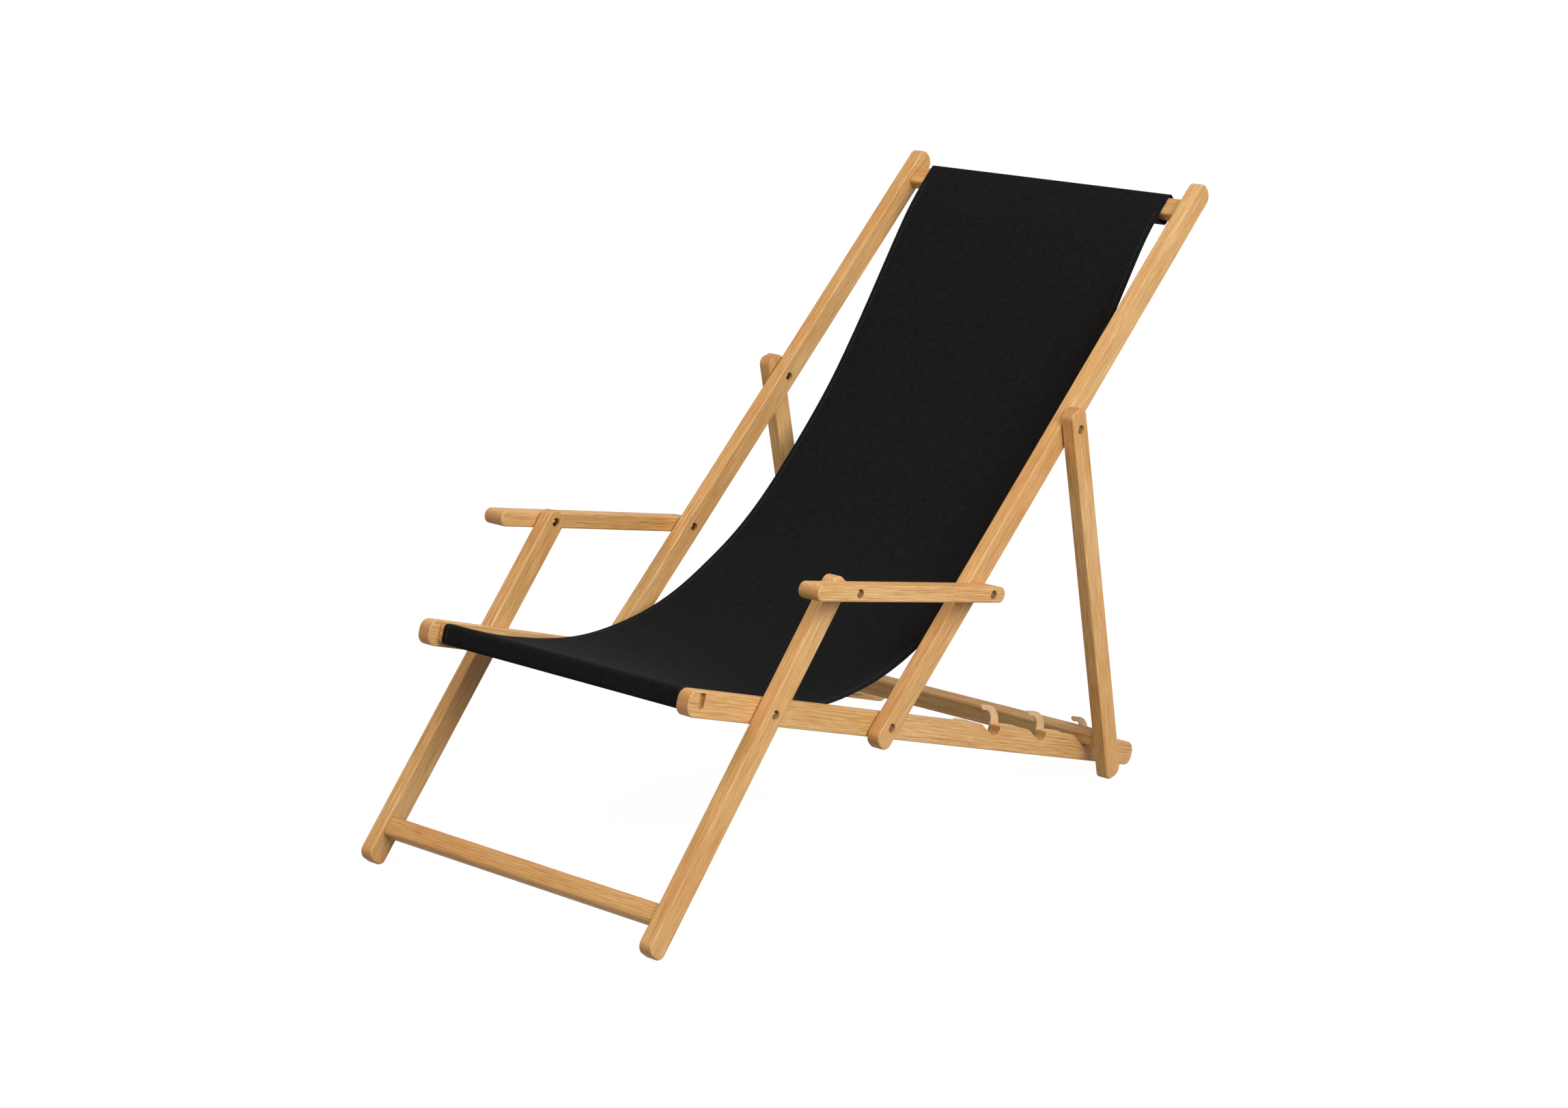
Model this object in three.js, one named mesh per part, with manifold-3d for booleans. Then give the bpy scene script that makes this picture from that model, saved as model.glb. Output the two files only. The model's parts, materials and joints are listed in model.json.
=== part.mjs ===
// A wooden steamer deck chair with a canvas sling, in millimetres, +Z up.
// The sitter faces -Y and +X is the sitter's left. The chair stands on the feet of its
// front legs and on the rear ends of its seat rails, with the bar of the prop frame
// hooked into the last of three notches.
import * as THREE from 'three';
import { mergeVertices } from 'three/addons/utils/BufferGeometryUtils.js';
import Module from 'manifold-3d';

const wasm = await Module();
wasm.setup();

// Widths across the chair
const chairWidth = 600;
const armrestWidth = 34;
const boardThickness = 20.5;
const boardGap = 1.4;
const slingWidth = 434;

// Bolt spacings of the folding linkage, along the middle lines of the boards
const railSpan = 248.2;
const legSpan = 187;
const armrestSpan = 290.9;
const backSpan = 230.7;
const propBoltReach = 514.7;
const reclineAngle = THREE.MathUtils.degToRad(59.8);

// Depths of the boards in side view, and the rounding of their ends
const railDepth = 35;
const legDepth = 32.6;
const backDepth = 32.6;
const propDepth = 32.6;
const armrestDepth = 21.8;
const railEndRound = 14.5;
const legEndRound = 11;
const backEndRound = 10.5;
const propEndRound = 12;
const edgeChamfer = 1.3;

// How far each board runs on past its bolts
const railFrontReach = 147.3;
const railRearReach = 630.5;
const legTopReach = 15.5;
const legFootReach = 346;
const backLowReach = 31;
const backTopReach = 956;
const armrestFrontReach = 86;
const armrestRearReach = 27;
const propTopReach = 29.5;
const propFootReach = 545.5;
const footFlat = 0.5;

// Notches in the top edge of each seat rail, placed by their rear walls
const notchCount = 3;
const notchPitch = 116;
const lastNotchWall = 512.4;
const notchDepth = 13.8;
const notchRound = 8;
const notchFlat = 7.3;
const notchRampRun = 28.9;

// Hooked catch plate on the inner face of each seat rail
const plateThickness = 3;
const plateDrop = 10;
const plateStart = 196;
const plateEndReach = 56;
const plateEndRound = 4;
const plateLip = 1.7;
const plateLipSlope = 8;
const plateBelowNotch = 0.8;
const hookOuterRadius = 29;
const hookInnerRadius = 17.5;
const hookWallReach = 3.5;
const hookOuterSetback = 6.4;
const hookOuterRise = 13.7;
const hookInnerRise = 18.2;
const hookTipReach = 26.5;
const hookTipRise = 42;
const hookBrowReach = 21;
const hookMouthAngle = THREE.MathUtils.degToRad(107);

// Bars across the chair, their sections and tenons
const frontBar = { along: 368.7, rise: 1.8, length: 17, depth: 25, round: 5 };
const frontTenon = { ahead: 2.4, rise: 2.2, length: 10.4, depth: 20.4, recess: 5 };
const topBar = { along: 913, rise: -2.25, length: 30.5, depth: 19.5, round: 4 };
const topTenon = { length: 18, depth: 8, reach: 12 };
const footBar = { along: 294.2, rise: 2, length: 28.5, depth: 22.4, round: 7 };
const footTenon = { length: 20, depth: 10, reach: 12 };
const notchBar = { thickness: 20.5, endHeight: 20.4, middleHeight: 30, round: 3, middleWidth: 432 };
const notchTenon = { length: 14, depth: 10, reach: 11 };
const barSetback = 13;
const barSeatReach = 19.9;

// Bolts, cap nuts and washers of the ten pivots, and the screws of the catch plates
const clearance = 0.3;
const boltDiameter = 5;
const boltHeadDiameter = 8;
const boltHeadHeight = 2.4;
const counterboreDiameter = 13;
const counterboreDepth = 4.5;
const nutHeight = 3;
const nutBoreDepth = 1.8;
const washerDiameter = 14;
const boltEdge = 0.6;
const screwHeadDiameter = 7;
const screwShankDiameter = 3.4;
const screwHeadHeight = 1.8;
const screwTipLength = 3;
const screwLength = 15;
const screwRise = 3;
const screwSetback = 79.4;

// Canvas sling: a sleeve round the top bar, a hanging run and a sleeve round the front bar
const canvasThickness = 1.4;
const sleeveGap = 0.4;
const slingSteps = 26;
// Places along the chord from the top bar to the front bar, and the hang below it
const slingHangShares = [
  [0.058, 0.021], [0.219, 0.106], [0.315, 0.15], [0.439, 0.191], [0.519, 0.208], [0.59, 0.212],
  [0.671, 0.208], [0.751, 0.188], [0.84, 0.146], [0.93, 0.074],
];

// Counts of facets and the overrun of every cut
const arcSteps = 3;
const roundSteps = 12;
const domeSteps = 3;
const overrun = 2;

// Layers from the middle of the chair outwards, as distances of the boards' faces
const armrestOuter = chairWidth / 2;
const armrestInner = armrestOuter - armrestWidth;
const propOuter = armrestInner + boardThickness;
const legOuter = armrestInner - boardGap;
const legInner = legOuter - boardThickness;
const railOuter = legInner - boardGap;
const railInner = railOuter - boardThickness;

// Materials
const timber = new THREE.MeshStandardMaterial({ color: 0xdcb27a, roughness: 0.55, metalness: 0 });
const canvas = new THREE.MeshStandardMaterial({ color: 0x232323, roughness: 0.95, metalness: 0 });
const brass = new THREE.MeshStandardMaterial({ color: 0xc9a25a, roughness: 0.35, metalness: 1 });
const steel = new THREE.MeshStandardMaterial({ color: 0xb9babb, roughness: 0.35, metalness: 1 });
const plywood = new THREE.MeshStandardMaterial({ color: 0xd9b98c, roughness: 0.6, metalness: 0 });

// Side profiles are drawn as (along, rise) and stand in the YZ plane of their frame
const profileToSide = new THREE.Matrix4().makeBasis(
  new THREE.Vector3(0, 1, 0), new THREE.Vector3(0, 0, 1), new THREE.Vector3(1, 0, 0));

function toSolid(geometry) {
  const bare = geometry.clone();
  bare.deleteAttribute('normal');
  bare.deleteAttribute('uv');
  const merged = mergeVertices(bare);
  return new wasm.Manifold(new wasm.Mesh({
    numProp: 3,
    vertProperties: new Float32Array(merged.attributes.position.array),
    triVerts: new Uint32Array(merged.index.array),
  }));
}

function toGeometry(solid) {
  const mesh = solid.getMesh();
  const geometry = new THREE.BufferGeometry();
  geometry.setAttribute('position', new THREE.BufferAttribute(new Float32Array(mesh.vertProperties), 3));
  geometry.setIndex(new THREE.BufferAttribute(new Uint32Array(mesh.triVerts), 1));
  geometry.computeVertexNormals();
  return geometry;
}

function addPiece(frame, name, solid, material, x = 0, y = 0, z = 0) {
  const piece = new THREE.Mesh(toGeometry(solid), material);
  piece.name = name;
  piece.position.set(x, y, z);
  frame.add(piece);
  return piece;
}

// A board or bar with the given side profile, centred on the middle plane of its thickness
function extruded(shape, thickness, chamfer = 0) {
  const geometry = new THREE.ExtrudeGeometry(shape, {
    depth: thickness - 2 * chamfer,
    bevelEnabled: chamfer > 0,
    bevelThickness: chamfer,
    bevelSize: chamfer,
    bevelOffset: -chamfer,
    bevelSegments: 1,
    curveSegments: arcSteps,
  });
  geometry.translate(0, 0, chamfer - thickness / 2);
  geometry.applyMatrix4(profileToSide);
  return toSolid(geometry);
}

function roundedShape(start, end, low, high, radius) {
  const shape = new THREE.Shape();
  shape.absarc(end - radius, low + radius, radius, -Math.PI / 2, 0);
  shape.absarc(end - radius, high - radius, radius, 0, Math.PI / 2);
  shape.absarc(start + radius, high - radius, radius, Math.PI / 2, Math.PI);
  shape.absarc(start + radius, low + radius, radius, Math.PI, Math.PI * 1.5);
  return shape;
}

function roundEndedShape(start, end, depth) {
  const radius = depth / 2;
  const shape = new THREE.Shape();
  shape.absarc(end - radius, 0, radius, -Math.PI / 2, Math.PI / 2);
  shape.absarc(start + radius, 0, radius, Math.PI / 2, Math.PI * 1.5);
  return shape;
}

function sectionShape(section, grow = 0) {
  const halfLength = section.length / 2 + grow;
  const halfDepth = section.depth / 2 + grow;
  return roundedShape(-halfLength, halfLength, -halfDepth, halfDepth, section.round + grow);
}

// A tenon or its mortise: a bar across the chair whose narrow sides are full rounds
function tenonSolid(tenon, width, fit, along = 0, rise = 0) {
  const upright = tenon.depth > tenon.length;
  const long = Math.max(tenon.length, tenon.depth) / 2 + fit;
  const short = Math.min(tenon.length, tenon.depth) / 2 + fit;
  const shape = roundEndedShape(-long, long, 2 * short);
  const geometry = new THREE.ExtrudeGeometry(shape, {
    depth: width, bevelEnabled: false, curveSegments: arcSteps });
  geometry.translate(0, 0, -width / 2);
  if (upright) geometry.rotateZ(Math.PI / 2);
  geometry.applyMatrix4(profileToSide);
  geometry.translate(0, along, rise);
  return toSolid(geometry);
}

function crossDrill(diameter, length, x, along, rise = 0) {
  const geometry = new THREE.CylinderGeometry(diameter / 2, diameter / 2, length, roundSteps);
  geometry.rotateZ(Math.PI / 2);
  geometry.translate(x, along, rise);
  return toSolid(geometry);
}

// Bolt holes through a board, each with a counterbore on its outer or inner face
function drilled(board, thickness, side, holes) {
  let solid = board;
  for (const { along, face } of holes) {
    const sinkCentre = side * face * (thickness / 2 - counterboreDepth / 2 + overrun / 2);
    solid = solid.subtract(
      crossDrill(boltDiameter + 2 * clearance, thickness + 2 * overrun, 0, along));
    solid = solid.subtract(
      crossDrill(counterboreDiameter, counterboreDepth + overrun, sinkCentre, along));
  }
  return solid;
}

// A blind mortise of a bar across the chair, cut into the inner face of a board
function mortised(board, thickness, side, tenon, along, rise) {
  const width = tenon.reach + clearance + overrun;
  const cutter = tenonSolid(tenon, width, clearance, along, rise);
  const x = -side * (thickness / 2 - (tenon.reach + clearance) / 2 + overrun / 2);
  return board.subtract(cutter.translate([x, 0, 0]));
}

// Cuts what lies below the floor off a piece that stands on it
function levelled(solid, frame) {
  frame.updateWorldMatrix(true, false);
  const block = new THREE.BoxGeometry(chairWidth * 2, railRearReach * 4, railRearReach);
  block.translate(0, 0, -railRearReach / 2);
  block.applyMatrix4(frame.matrixWorld.clone().invert());
  return solid.subtract(toSolid(block));
}

// A point reached by two links from two pivots, on the left of the way from a to b
function meet(a, reachA, b, reachB) {
  const apart = a.distanceTo(b);
  const along = (apart * apart + reachA * reachA - reachB * reachB) / (2 * apart);
  const aside = Math.sqrt(reachA * reachA - along * along);
  const way = b.clone().sub(a).divideScalar(apart);
  return new THREE.Vector2(
    a.x + way.x * along - way.y * aside, a.y + way.y * along + way.x * aside);
}

function angleOf(from, to) {
  return Math.atan2(to.y - from.y, to.x - from.x);
}

// Linkage solved in the seat rail's frame, whose origin is the back bolt
const backBolt = new THREE.Vector2(0, 0);
const legBolt = new THREE.Vector2(-railSpan, 0);
const armrestRearBolt = new THREE.Vector2(backSpan, 0).rotateAround(backBolt, reclineAngle);
const propBolt = new THREE.Vector2(propBoltReach, 0).rotateAround(backBolt, reclineAngle);
const armrestFrontBolt = meet(legBolt, legSpan, armrestRearBolt, armrestSpan);
const legAngle = angleOf(legBolt, armrestFrontBolt);
const armrestAngle = angleOf(armrestFrontBolt, armrestRearBolt);

// The notch bar rests by its rounded lower front edge on the ramp of the last notch
const notchFloor = railDepth / 2 - notchDepth;
const rampFoot = notchRound + notchFlat;
const rampSlope = Math.atan2(notchDepth, notchRampRun);
const barEdge = new THREE.Vector2(
  lastNotchWall - barSeatReach,
  notchFloor + (barSeatReach - rampFoot) * Math.tan(rampSlope)
    + (notchBar.round + clearance) / Math.cos(rampSlope));
const barEdgeSetback = barSetback - notchBar.round;
const barEdgeReach = Math.sqrt(
  propBolt.distanceToSquared(barEdge) - barEdgeSetback * barEdgeSetback);
const barLow = barEdgeReach + notchBar.round;
const propAngle = angleOf(propBolt, barEdge) + Math.atan2(barEdgeSetback, barEdgeReach);

// The floor is the line under the rounded leg foot and the rounded rear end of the rail
const footCentre = new THREE.Vector2(-legFootReach + legEndRound, -legDepth / 2 + legEndRound)
  .rotateAround(backBolt, legAngle).add(legBolt);
const railEndCentre = new THREE.Vector2(railRearReach - railEndRound, -railDepth / 2 + railEndRound);
const standSpan = footCentre.distanceTo(railEndCentre);
const railSlope = -angleOf(footCentre, railEndCentre)
  + Math.asin((railEndRound - legEndRound) / standSpan);
const railEndDrop = railEndCentre.clone().rotateAround(backBolt, railSlope).y;
const backBoltHeight = railEndRound - footFlat - railEndDrop;

// Frames of the linkage: each has its bolt as origin and Y along its boards
const chair = new THREE.Group();
const seatFrame = new THREE.Group();
const legFrame = new THREE.Group();
const backFrame = new THREE.Group();
const armrestFrame = new THREE.Group();
const propFrame = new THREE.Group();
chair.add(seatFrame);
seatFrame.add(legFrame, backFrame);
backFrame.add(armrestFrame, propFrame);
seatFrame.position.set(0, 0, backBoltHeight);
seatFrame.rotation.x = railSlope;
legFrame.position.set(0, legBolt.x, 0);
legFrame.rotation.x = legAngle;
backFrame.rotation.x = reclineAngle;
armrestFrame.position.set(0, backSpan, 0);
armrestFrame.rotation.x = armrestAngle - reclineAngle;
propFrame.position.set(0, propBoltReach, 0);
propFrame.rotation.x = propAngle - reclineAngle;

const notchWalls = [];
for (let notch = notchCount - 1; notch >= 0; notch--) {
  notchWalls.push(lastNotchWall - notch * notchPitch);
}

// Walks a notch from its rear wall to the top of its ramp
function notchPath(shape, wall, floor, ramp, wallOffset) {
  shape.absarc(wall + wallOffset - notchRound, floor + notchRound, notchRound, 0, -Math.PI / 2, true);
  shape.lineTo(wall - rampFoot, floor);
  shape.lineTo(wall - rampFoot - ramp / Math.tan(rampSlope), floor + ramp);
}

function railShape() {
  const top = railDepth / 2;
  const front = -railSpan - railFrontReach;
  const shape = new THREE.Shape();
  shape.absarc(railRearReach - railEndRound, -top + railEndRound, railEndRound, -Math.PI / 2, 0);
  shape.absarc(railRearReach - railEndRound, top - railEndRound, railEndRound, 0, Math.PI / 2);
  for (const wall of notchWalls.toReversed()) {
    shape.lineTo(wall, top);
    notchPath(shape, wall, notchFloor, notchDepth, 0);
  }
  shape.absarc(front + railEndRound, top - railEndRound, railEndRound, Math.PI / 2, Math.PI);
  shape.absarc(front + railEndRound, -top + railEndRound, railEndRound, Math.PI, Math.PI * 1.5);
  return shape;
}

// The plate rises behind each notch as a hook whose tip reaches forward over the bar
function plateShape() {
  const lipTop = railDepth / 2 + plateLip;
  const end = lastNotchWall + plateEndReach;
  const low = -plateDrop;
  const hookFootAngle = Math.asin((lipTop - hookOuterRise) / hookOuterRadius);
  const plateFloor = notchFloor - plateBelowNotch;
  const rampRise = railDepth / 2 - plateFloor;
  const lipSetback = notchPitch - screwSetback + plateLipSlope + rampFoot;
  const shape = new THREE.Shape();
  shape.absarc(end - plateEndRound, low + plateEndRound, plateEndRound, -Math.PI / 2, 0);
  shape.absarc(end - plateEndRound, lipTop - plateEndRound, plateEndRound, 0, Math.PI / 2);
  for (const wall of notchWalls.toReversed()) {
    shape.absarc(wall - hookOuterSetback, hookOuterRise, hookOuterRadius, hookFootAngle, Math.PI / 2);
    shape.lineTo(wall - hookBrowReach, hookOuterRise + hookOuterRadius);
    shape.lineTo(wall - hookTipReach, hookTipRise);
    shape.absarc(wall + hookWallReach - hookInnerRadius, hookInnerRise, hookInnerRadius,
      hookMouthAngle, 0, true);
    notchPath(shape, wall, plateFloor, rampRise, hookWallReach);
    shape.lineTo(wall - lipSetback, lipTop);
  }
  shape.absarc(plateStart + plateEndRound, lipTop - plateEndRound, plateEndRound, Math.PI / 2, Math.PI);
  shape.absarc(plateStart + plateEndRound, low + plateEndRound, plateEndRound, Math.PI, Math.PI * 1.5);
  return shape;
}

const screwPlaces = [...notchWalls, lastNotchWall + notchPitch].map((wall) => wall - screwSetback);
const screwPilotDepth = screwLength - plateThickness;

function seatRail(side) {
  const thickness = boardThickness;
  const holes = [{ along: 0, face: -1 }, { along: legBolt.x, face: -1 }];
  let rail = drilled(extruded(railShape(), thickness, edgeChamfer), thickness, side, holes);
  rail = rail.subtract(tenonSolid(frontTenon, thickness + 2 * overrun, clearance,
    -frontBar.along - frontTenon.ahead, frontBar.rise + frontTenon.rise));
  for (const along of screwPlaces) {
    const x = -side * (thickness / 2 + (overrun - screwPilotDepth) / 2);
    rail = rail.subtract(crossDrill(
      screwShankDiameter + 2 * clearance, screwPilotDepth + overrun, x, along, screwRise));
  }
  return levelled(rail, seatFrame);
}

function frontLeg(side) {
  const shape = roundedShape(
    -legFootReach, legSpan + legTopReach, -legDepth / 2, legDepth / 2, legEndRound);
  const holes = [{ along: 0, face: 1 }, { along: legSpan, face: -1 }];
  let leg = drilled(extruded(shape, boardThickness, edgeChamfer), boardThickness, side, holes);
  leg = mortised(leg, boardThickness, side, footTenon, -footBar.along, footBar.rise);
  return levelled(leg, legFrame);
}

function backRail(side) {
  const shape = roundedShape(
    -backLowReach, backTopReach, -backDepth / 2, backDepth / 2, backEndRound);
  const holes = [
    { along: 0, face: 1 }, { along: backSpan, face: -1 }, { along: propBoltReach, face: -1 }];
  const rail = drilled(extruded(shape, boardThickness, edgeChamfer), boardThickness, side, holes);
  return mortised(rail, boardThickness, side, topTenon, topBar.along, topBar.rise);
}

function propLeg(side) {
  const shape = roundedShape(
    -propTopReach, propFootReach, -propDepth / 2, propDepth / 2, propEndRound);
  const board = extruded(shape, boardThickness, edgeChamfer);
  const leg = drilled(board, boardThickness, side, [{ along: 0, face: 1 }]);
  return mortised(leg, boardThickness, side, notchTenon, notchTenonPlace.x, notchTenonPlace.y);
}

function armrest(side) {
  const shape = roundEndedShape(
    -armrestSpan - armrestFrontReach, armrestRearReach, armrestDepth);
  const holes = [{ along: 0, face: 1 }, { along: -armrestSpan, face: 1 }];
  return drilled(extruded(shape, armrestWidth, edgeChamfer), armrestWidth, side, holes);
}

// A rounded bar between two boards, with a tenon at each end
function barAcross(section, tenon, innerFace) {
  const bar = extruded(sectionShape(section), 2 * (innerFace - clearance), edgeChamfer)
    .translate([0, section.along, section.rise]);
  return bar.add(tenonSolid(tenon, 2 * (innerFace + tenon.reach), 0, section.along, section.rise));
}

function frontBarSolid() {
  const bar = extruded(sectionShape(frontBar), 2 * (railInner - clearance), edgeChamfer)
    .translate([0, -frontBar.along, frontBar.rise]);
  return bar.add(tenonSolid(frontTenon, 2 * (railOuter - frontTenon.recess), 0,
    -frontBar.along - frontTenon.ahead, frontBar.rise + frontTenon.rise));
}

// The notch bar is cut away below at both ends, where it lies in the notches
const notchTenonPlace = new THREE.Vector2(
  barLow - notchBar.endHeight / 2, notchBar.thickness / 2 - barSetback);

function notchBarSolid() {
  const front = -barSetback;
  const rear = notchBar.thickness - barSetback;
  const high = barLow - notchBar.endHeight;
  const ends = roundedShape(high, barLow, front, rear, notchBar.round);
  const middle = roundedShape(high, high + notchBar.middleHeight, front, rear, notchBar.round);
  const across = extruded(ends, 2 * (armrestInner - clearance), edgeChamfer);
  const tenon = tenonSolid(notchTenon, 2 * (armrestInner + notchTenon.reach), 0,
    notchTenonPlace.x, notchTenonPlace.y);
  return across.add(extruded(middle, notchBar.middleWidth, edgeChamfer)).add(tenon);
}

// Turned fasteners have their axis across the chair; their tops point along the given way
function turned(profile, way) {
  const points = profile.map(([radius, height]) => new THREE.Vector2(radius, height));
  const geometry = new THREE.LatheGeometry(points, roundSteps);
  geometry.rotateZ(-way * Math.PI / 2);
  return toSolid(geometry);
}

function domeProfile(radius, height) {
  const dome = [[radius, 0], [radius, boltEdge]];
  for (let step = 1; step < domeSteps; step++) {
    const turn = (step / domeSteps) * Math.PI / 2;
    dome.push([radius * Math.cos(turn), boltEdge + (height - boltEdge) * Math.sin(turn)]);
  }
  return [...dome, [0, height]];
}

function shankProfile(radius, length) {
  return [[0, -length], [radius - boltEdge, -length], [radius, boltEdge - length], [radius, 0]];
}

function boltSolid(shankLength, headHeight, way) {
  const shank = shankProfile(boltDiameter / 2, shankLength);
  return turned([...shank, ...domeProfile(boltHeadDiameter / 2, headHeight)], way);
}

function capNut(way) {
  const bore = boltDiameter / 2 + clearance;
  const inside = [[0, nutBoreDepth], [bore, nutBoreDepth], [bore, 0]];
  return turned([...inside, ...domeProfile(boltHeadDiameter / 2, nutHeight)], way);
}

function washerSolid() {
  const inner = boltDiameter / 2 + clearance;
  const outer = washerDiameter / 2;
  const half = boardGap / 2 - clearance;
  return turned([[inner, -half], [outer, -half], [outer, half], [inner, half], [inner, -half]], 1);
}

function screwProfile(grow) {
  const shank = screwShankDiameter / 2 + grow;
  const head = screwHeadDiameter / 2 + grow;
  return [[0, -screwLength], [shank, screwTipLength - screwLength], [shank, -screwHeadHeight],
    [head, 0], [head, grow], [0, grow]];
}

function catchPlate(side) {
  let plate = extruded(plateShape(), plateThickness);
  for (const along of screwPlaces) {
    const sink = turned(screwProfile(clearance), -side);
    plate = plate.subtract(sink.translate([-side * plateThickness / 2, along, screwRise]));
  }
  return plate;
}

// Bolt, nut and washer of one pivot. The bolt of the armrest's front pivot is in two halves,
// parted between the boards, one for each of the boards that it joins.
function addPivot(pivot, side, suffix) {
  const { name, frame, along, outerFace, innerFace, gapFace, nutFrame, nutAlong } = pivot;
  const headSeat = outerFace - counterboreDepth + clearance;
  const nutSeat = innerFace + counterboreDepth - clearance;
  const washerX = gapFace + boardGap / 2;
  if (nutFrame) {
    addPiece(frame, `${name}_bolt_${suffix}`,
      boltSolid(headSeat - gapFace - clearance, boltHeadHeight, side), steel, side * headSeat, along);
    addPiece(nutFrame, `${name}_nut_${suffix}`,
      boltSolid(gapFace - clearance - nutSeat, nutHeight, -side), steel, side * nutSeat, nutAlong);
  } else {
    const shankEnd = nutSeat - nutBoreDepth + clearance;
    addPiece(frame, `${name}_bolt_${suffix}`,
      boltSolid(headSeat - shankEnd, boltHeadHeight, side), steel, side * headSeat, along);
    addPiece(frame, `${name}_nut_${suffix}`, capNut(-side), steel, side * nutSeat, along);
  }
  addPiece(frame, `${name}_washer_${suffix}`, washerSolid(), brass, side * washerX, along);
}

const pivots = [
  { name: 'armrest_front', frame: armrestFrame, along: -armrestSpan, outerFace: armrestOuter,
    innerFace: legInner, gapFace: legOuter, nutFrame: legFrame, nutAlong: legSpan },
  { name: 'armrest_rear', frame: armrestFrame, along: 0, outerFace: armrestOuter,
    innerFace: legInner, gapFace: legOuter },
  { name: 'leg', frame: legFrame, along: 0, outerFace: legOuter,
    innerFace: railInner, gapFace: railOuter },
  { name: 'back', frame: backFrame, along: 0, outerFace: legOuter,
    innerFace: railInner, gapFace: railOuter },
  { name: 'prop', frame: propFrame, along: 0, outerFace: propOuter,
    innerFace: legInner, gapFace: legOuter },
];

// One side of the chair: +1 is the sitter's left
function addSide(side, suffix) {
  const railX = side * (railInner + railOuter) / 2;
  const legX = side * (legInner + legOuter) / 2;
  const propX = side * (armrestInner + propOuter) / 2;
  const armrestX = side * (armrestInner + armrestOuter) / 2;
  const plateX = side * (railInner - clearance - plateThickness / 2);
  const screwX = side * (railInner - clearance - plateThickness);
  addPiece(seatFrame, `seat_rail_${suffix}`, seatRail(side), timber, railX);
  addPiece(legFrame, `front_leg_${suffix}`, frontLeg(side), timber, legX);
  addPiece(backFrame, `back_rail_${suffix}`, backRail(side), timber, legX);
  addPiece(armrestFrame, `armrest_${suffix}`, armrest(side), timber, armrestX);
  addPiece(propFrame, `prop_leg_${suffix}`, propLeg(side), timber, propX);
  addPiece(seatFrame, `catch_plate_${suffix}`, catchPlate(side), plywood, plateX);
  screwPlaces.forEach((along, index) => {
    addPiece(seatFrame, `plate_screw_${index + 1}_${suffix}`,
      turned(screwProfile(0).slice(0, -2).concat([[0, 0]]), -side), brass, screwX, along, screwRise);
  });
  for (const pivot of pivots) addPivot(pivot, side, suffix);
}

// A sleeve of canvas round one bar, in the chair's own frame
function sleeveSolid(section, along, frame) {
  const shape = sectionShape(section, sleeveGap + canvasThickness);
  shape.holes.push(sectionShape(section, sleeveGap));
  const geometry = new THREE.ExtrudeGeometry(shape, {
    depth: slingWidth, bevelEnabled: false, curveSegments: arcSteps });
  geometry.translate(0, 0, -slingWidth / 2);
  geometry.applyMatrix4(profileToSide);
  geometry.translate(0, along, section.rise);
  geometry.applyMatrix4(frame.matrixWorld);
  return toSolid(geometry);
}

// The hanging run starts on the front of the top bar and ends on top of the front bar
function slingCurve() {
  const lift = sleeveGap + canvasThickness / 2;
  const startPlace = new THREE.Vector3(0, topBar.along, topBar.rise + topBar.depth / 2 + lift)
    .applyMatrix4(backFrame.matrixWorld);
  const endPlace = new THREE.Vector3(0, -frontBar.along, frontBar.rise + frontBar.depth / 2 + lift)
    .applyMatrix4(seatFrame.matrixWorld);
  const start = new THREE.Vector2(startPlace.y, startPlace.z);
  const chord = new THREE.Vector2(endPlace.y, endPlace.z).sub(start);
  const hang = new THREE.Vector2(-chord.y, chord.x);
  const places = slingHangShares.map(([share, hangShare]) =>
    start.clone().addScaledVector(chord, share).addScaledVector(hang, hangShare));
  return new THREE.SplineCurve([start, ...places, start.clone().add(chord)]);
}

function slingSolid() {
  const curve = slingCurve();
  const upper = [];
  const lower = [];
  for (let step = 0; step <= slingSteps; step++) {
    const share = step / slingSteps;
    const place = curve.getPointAt(share);
    const tangent = curve.getTangentAt(share);
    const normal = new THREE.Vector2(-tangent.y, tangent.x).multiplyScalar(canvasThickness / 2);
    upper.push(place.clone().add(normal));
    lower.push(place.clone().sub(normal));
  }
  const run = new THREE.Shape([...upper, ...lower.reverse()]);
  const geometry = new THREE.ExtrudeGeometry(run, { depth: slingWidth, bevelEnabled: false });
  geometry.translate(0, 0, -slingWidth / 2);
  geometry.applyMatrix4(profileToSide);
  return toSolid(geometry)
    .add(sleeveSolid(topBar, topBar.along, backFrame))
    .add(sleeveSolid(frontBar, -frontBar.along, seatFrame));
}

chair.updateMatrixWorld(true);
addSide(1, 'left');
addSide(-1, 'right');
addPiece(seatFrame, 'front_bar', frontBarSolid(), timber);
addPiece(legFrame, 'foot_bar',
  barAcross({ ...footBar, along: -footBar.along }, footTenon, legInner), timber);
addPiece(backFrame, 'top_bar', barAcross(topBar, topTenon, legInner), timber);
addPiece(propFrame, 'notch_bar', notchBarSolid(), timber);
addPiece(chair, 'sling', slingSolid(), canvas);

// The origin is on the floor, below the middle of the chair's outer box
const bounds = new THREE.Box3().setFromObject(chair, true);
chair.position.y = -(bounds.min.y + bounds.max.y) / 2;

export default chair;
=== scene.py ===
import json
import math
from functools import partial

import bmesh
import bpy
from mathutils import Matrix, Vector

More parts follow.
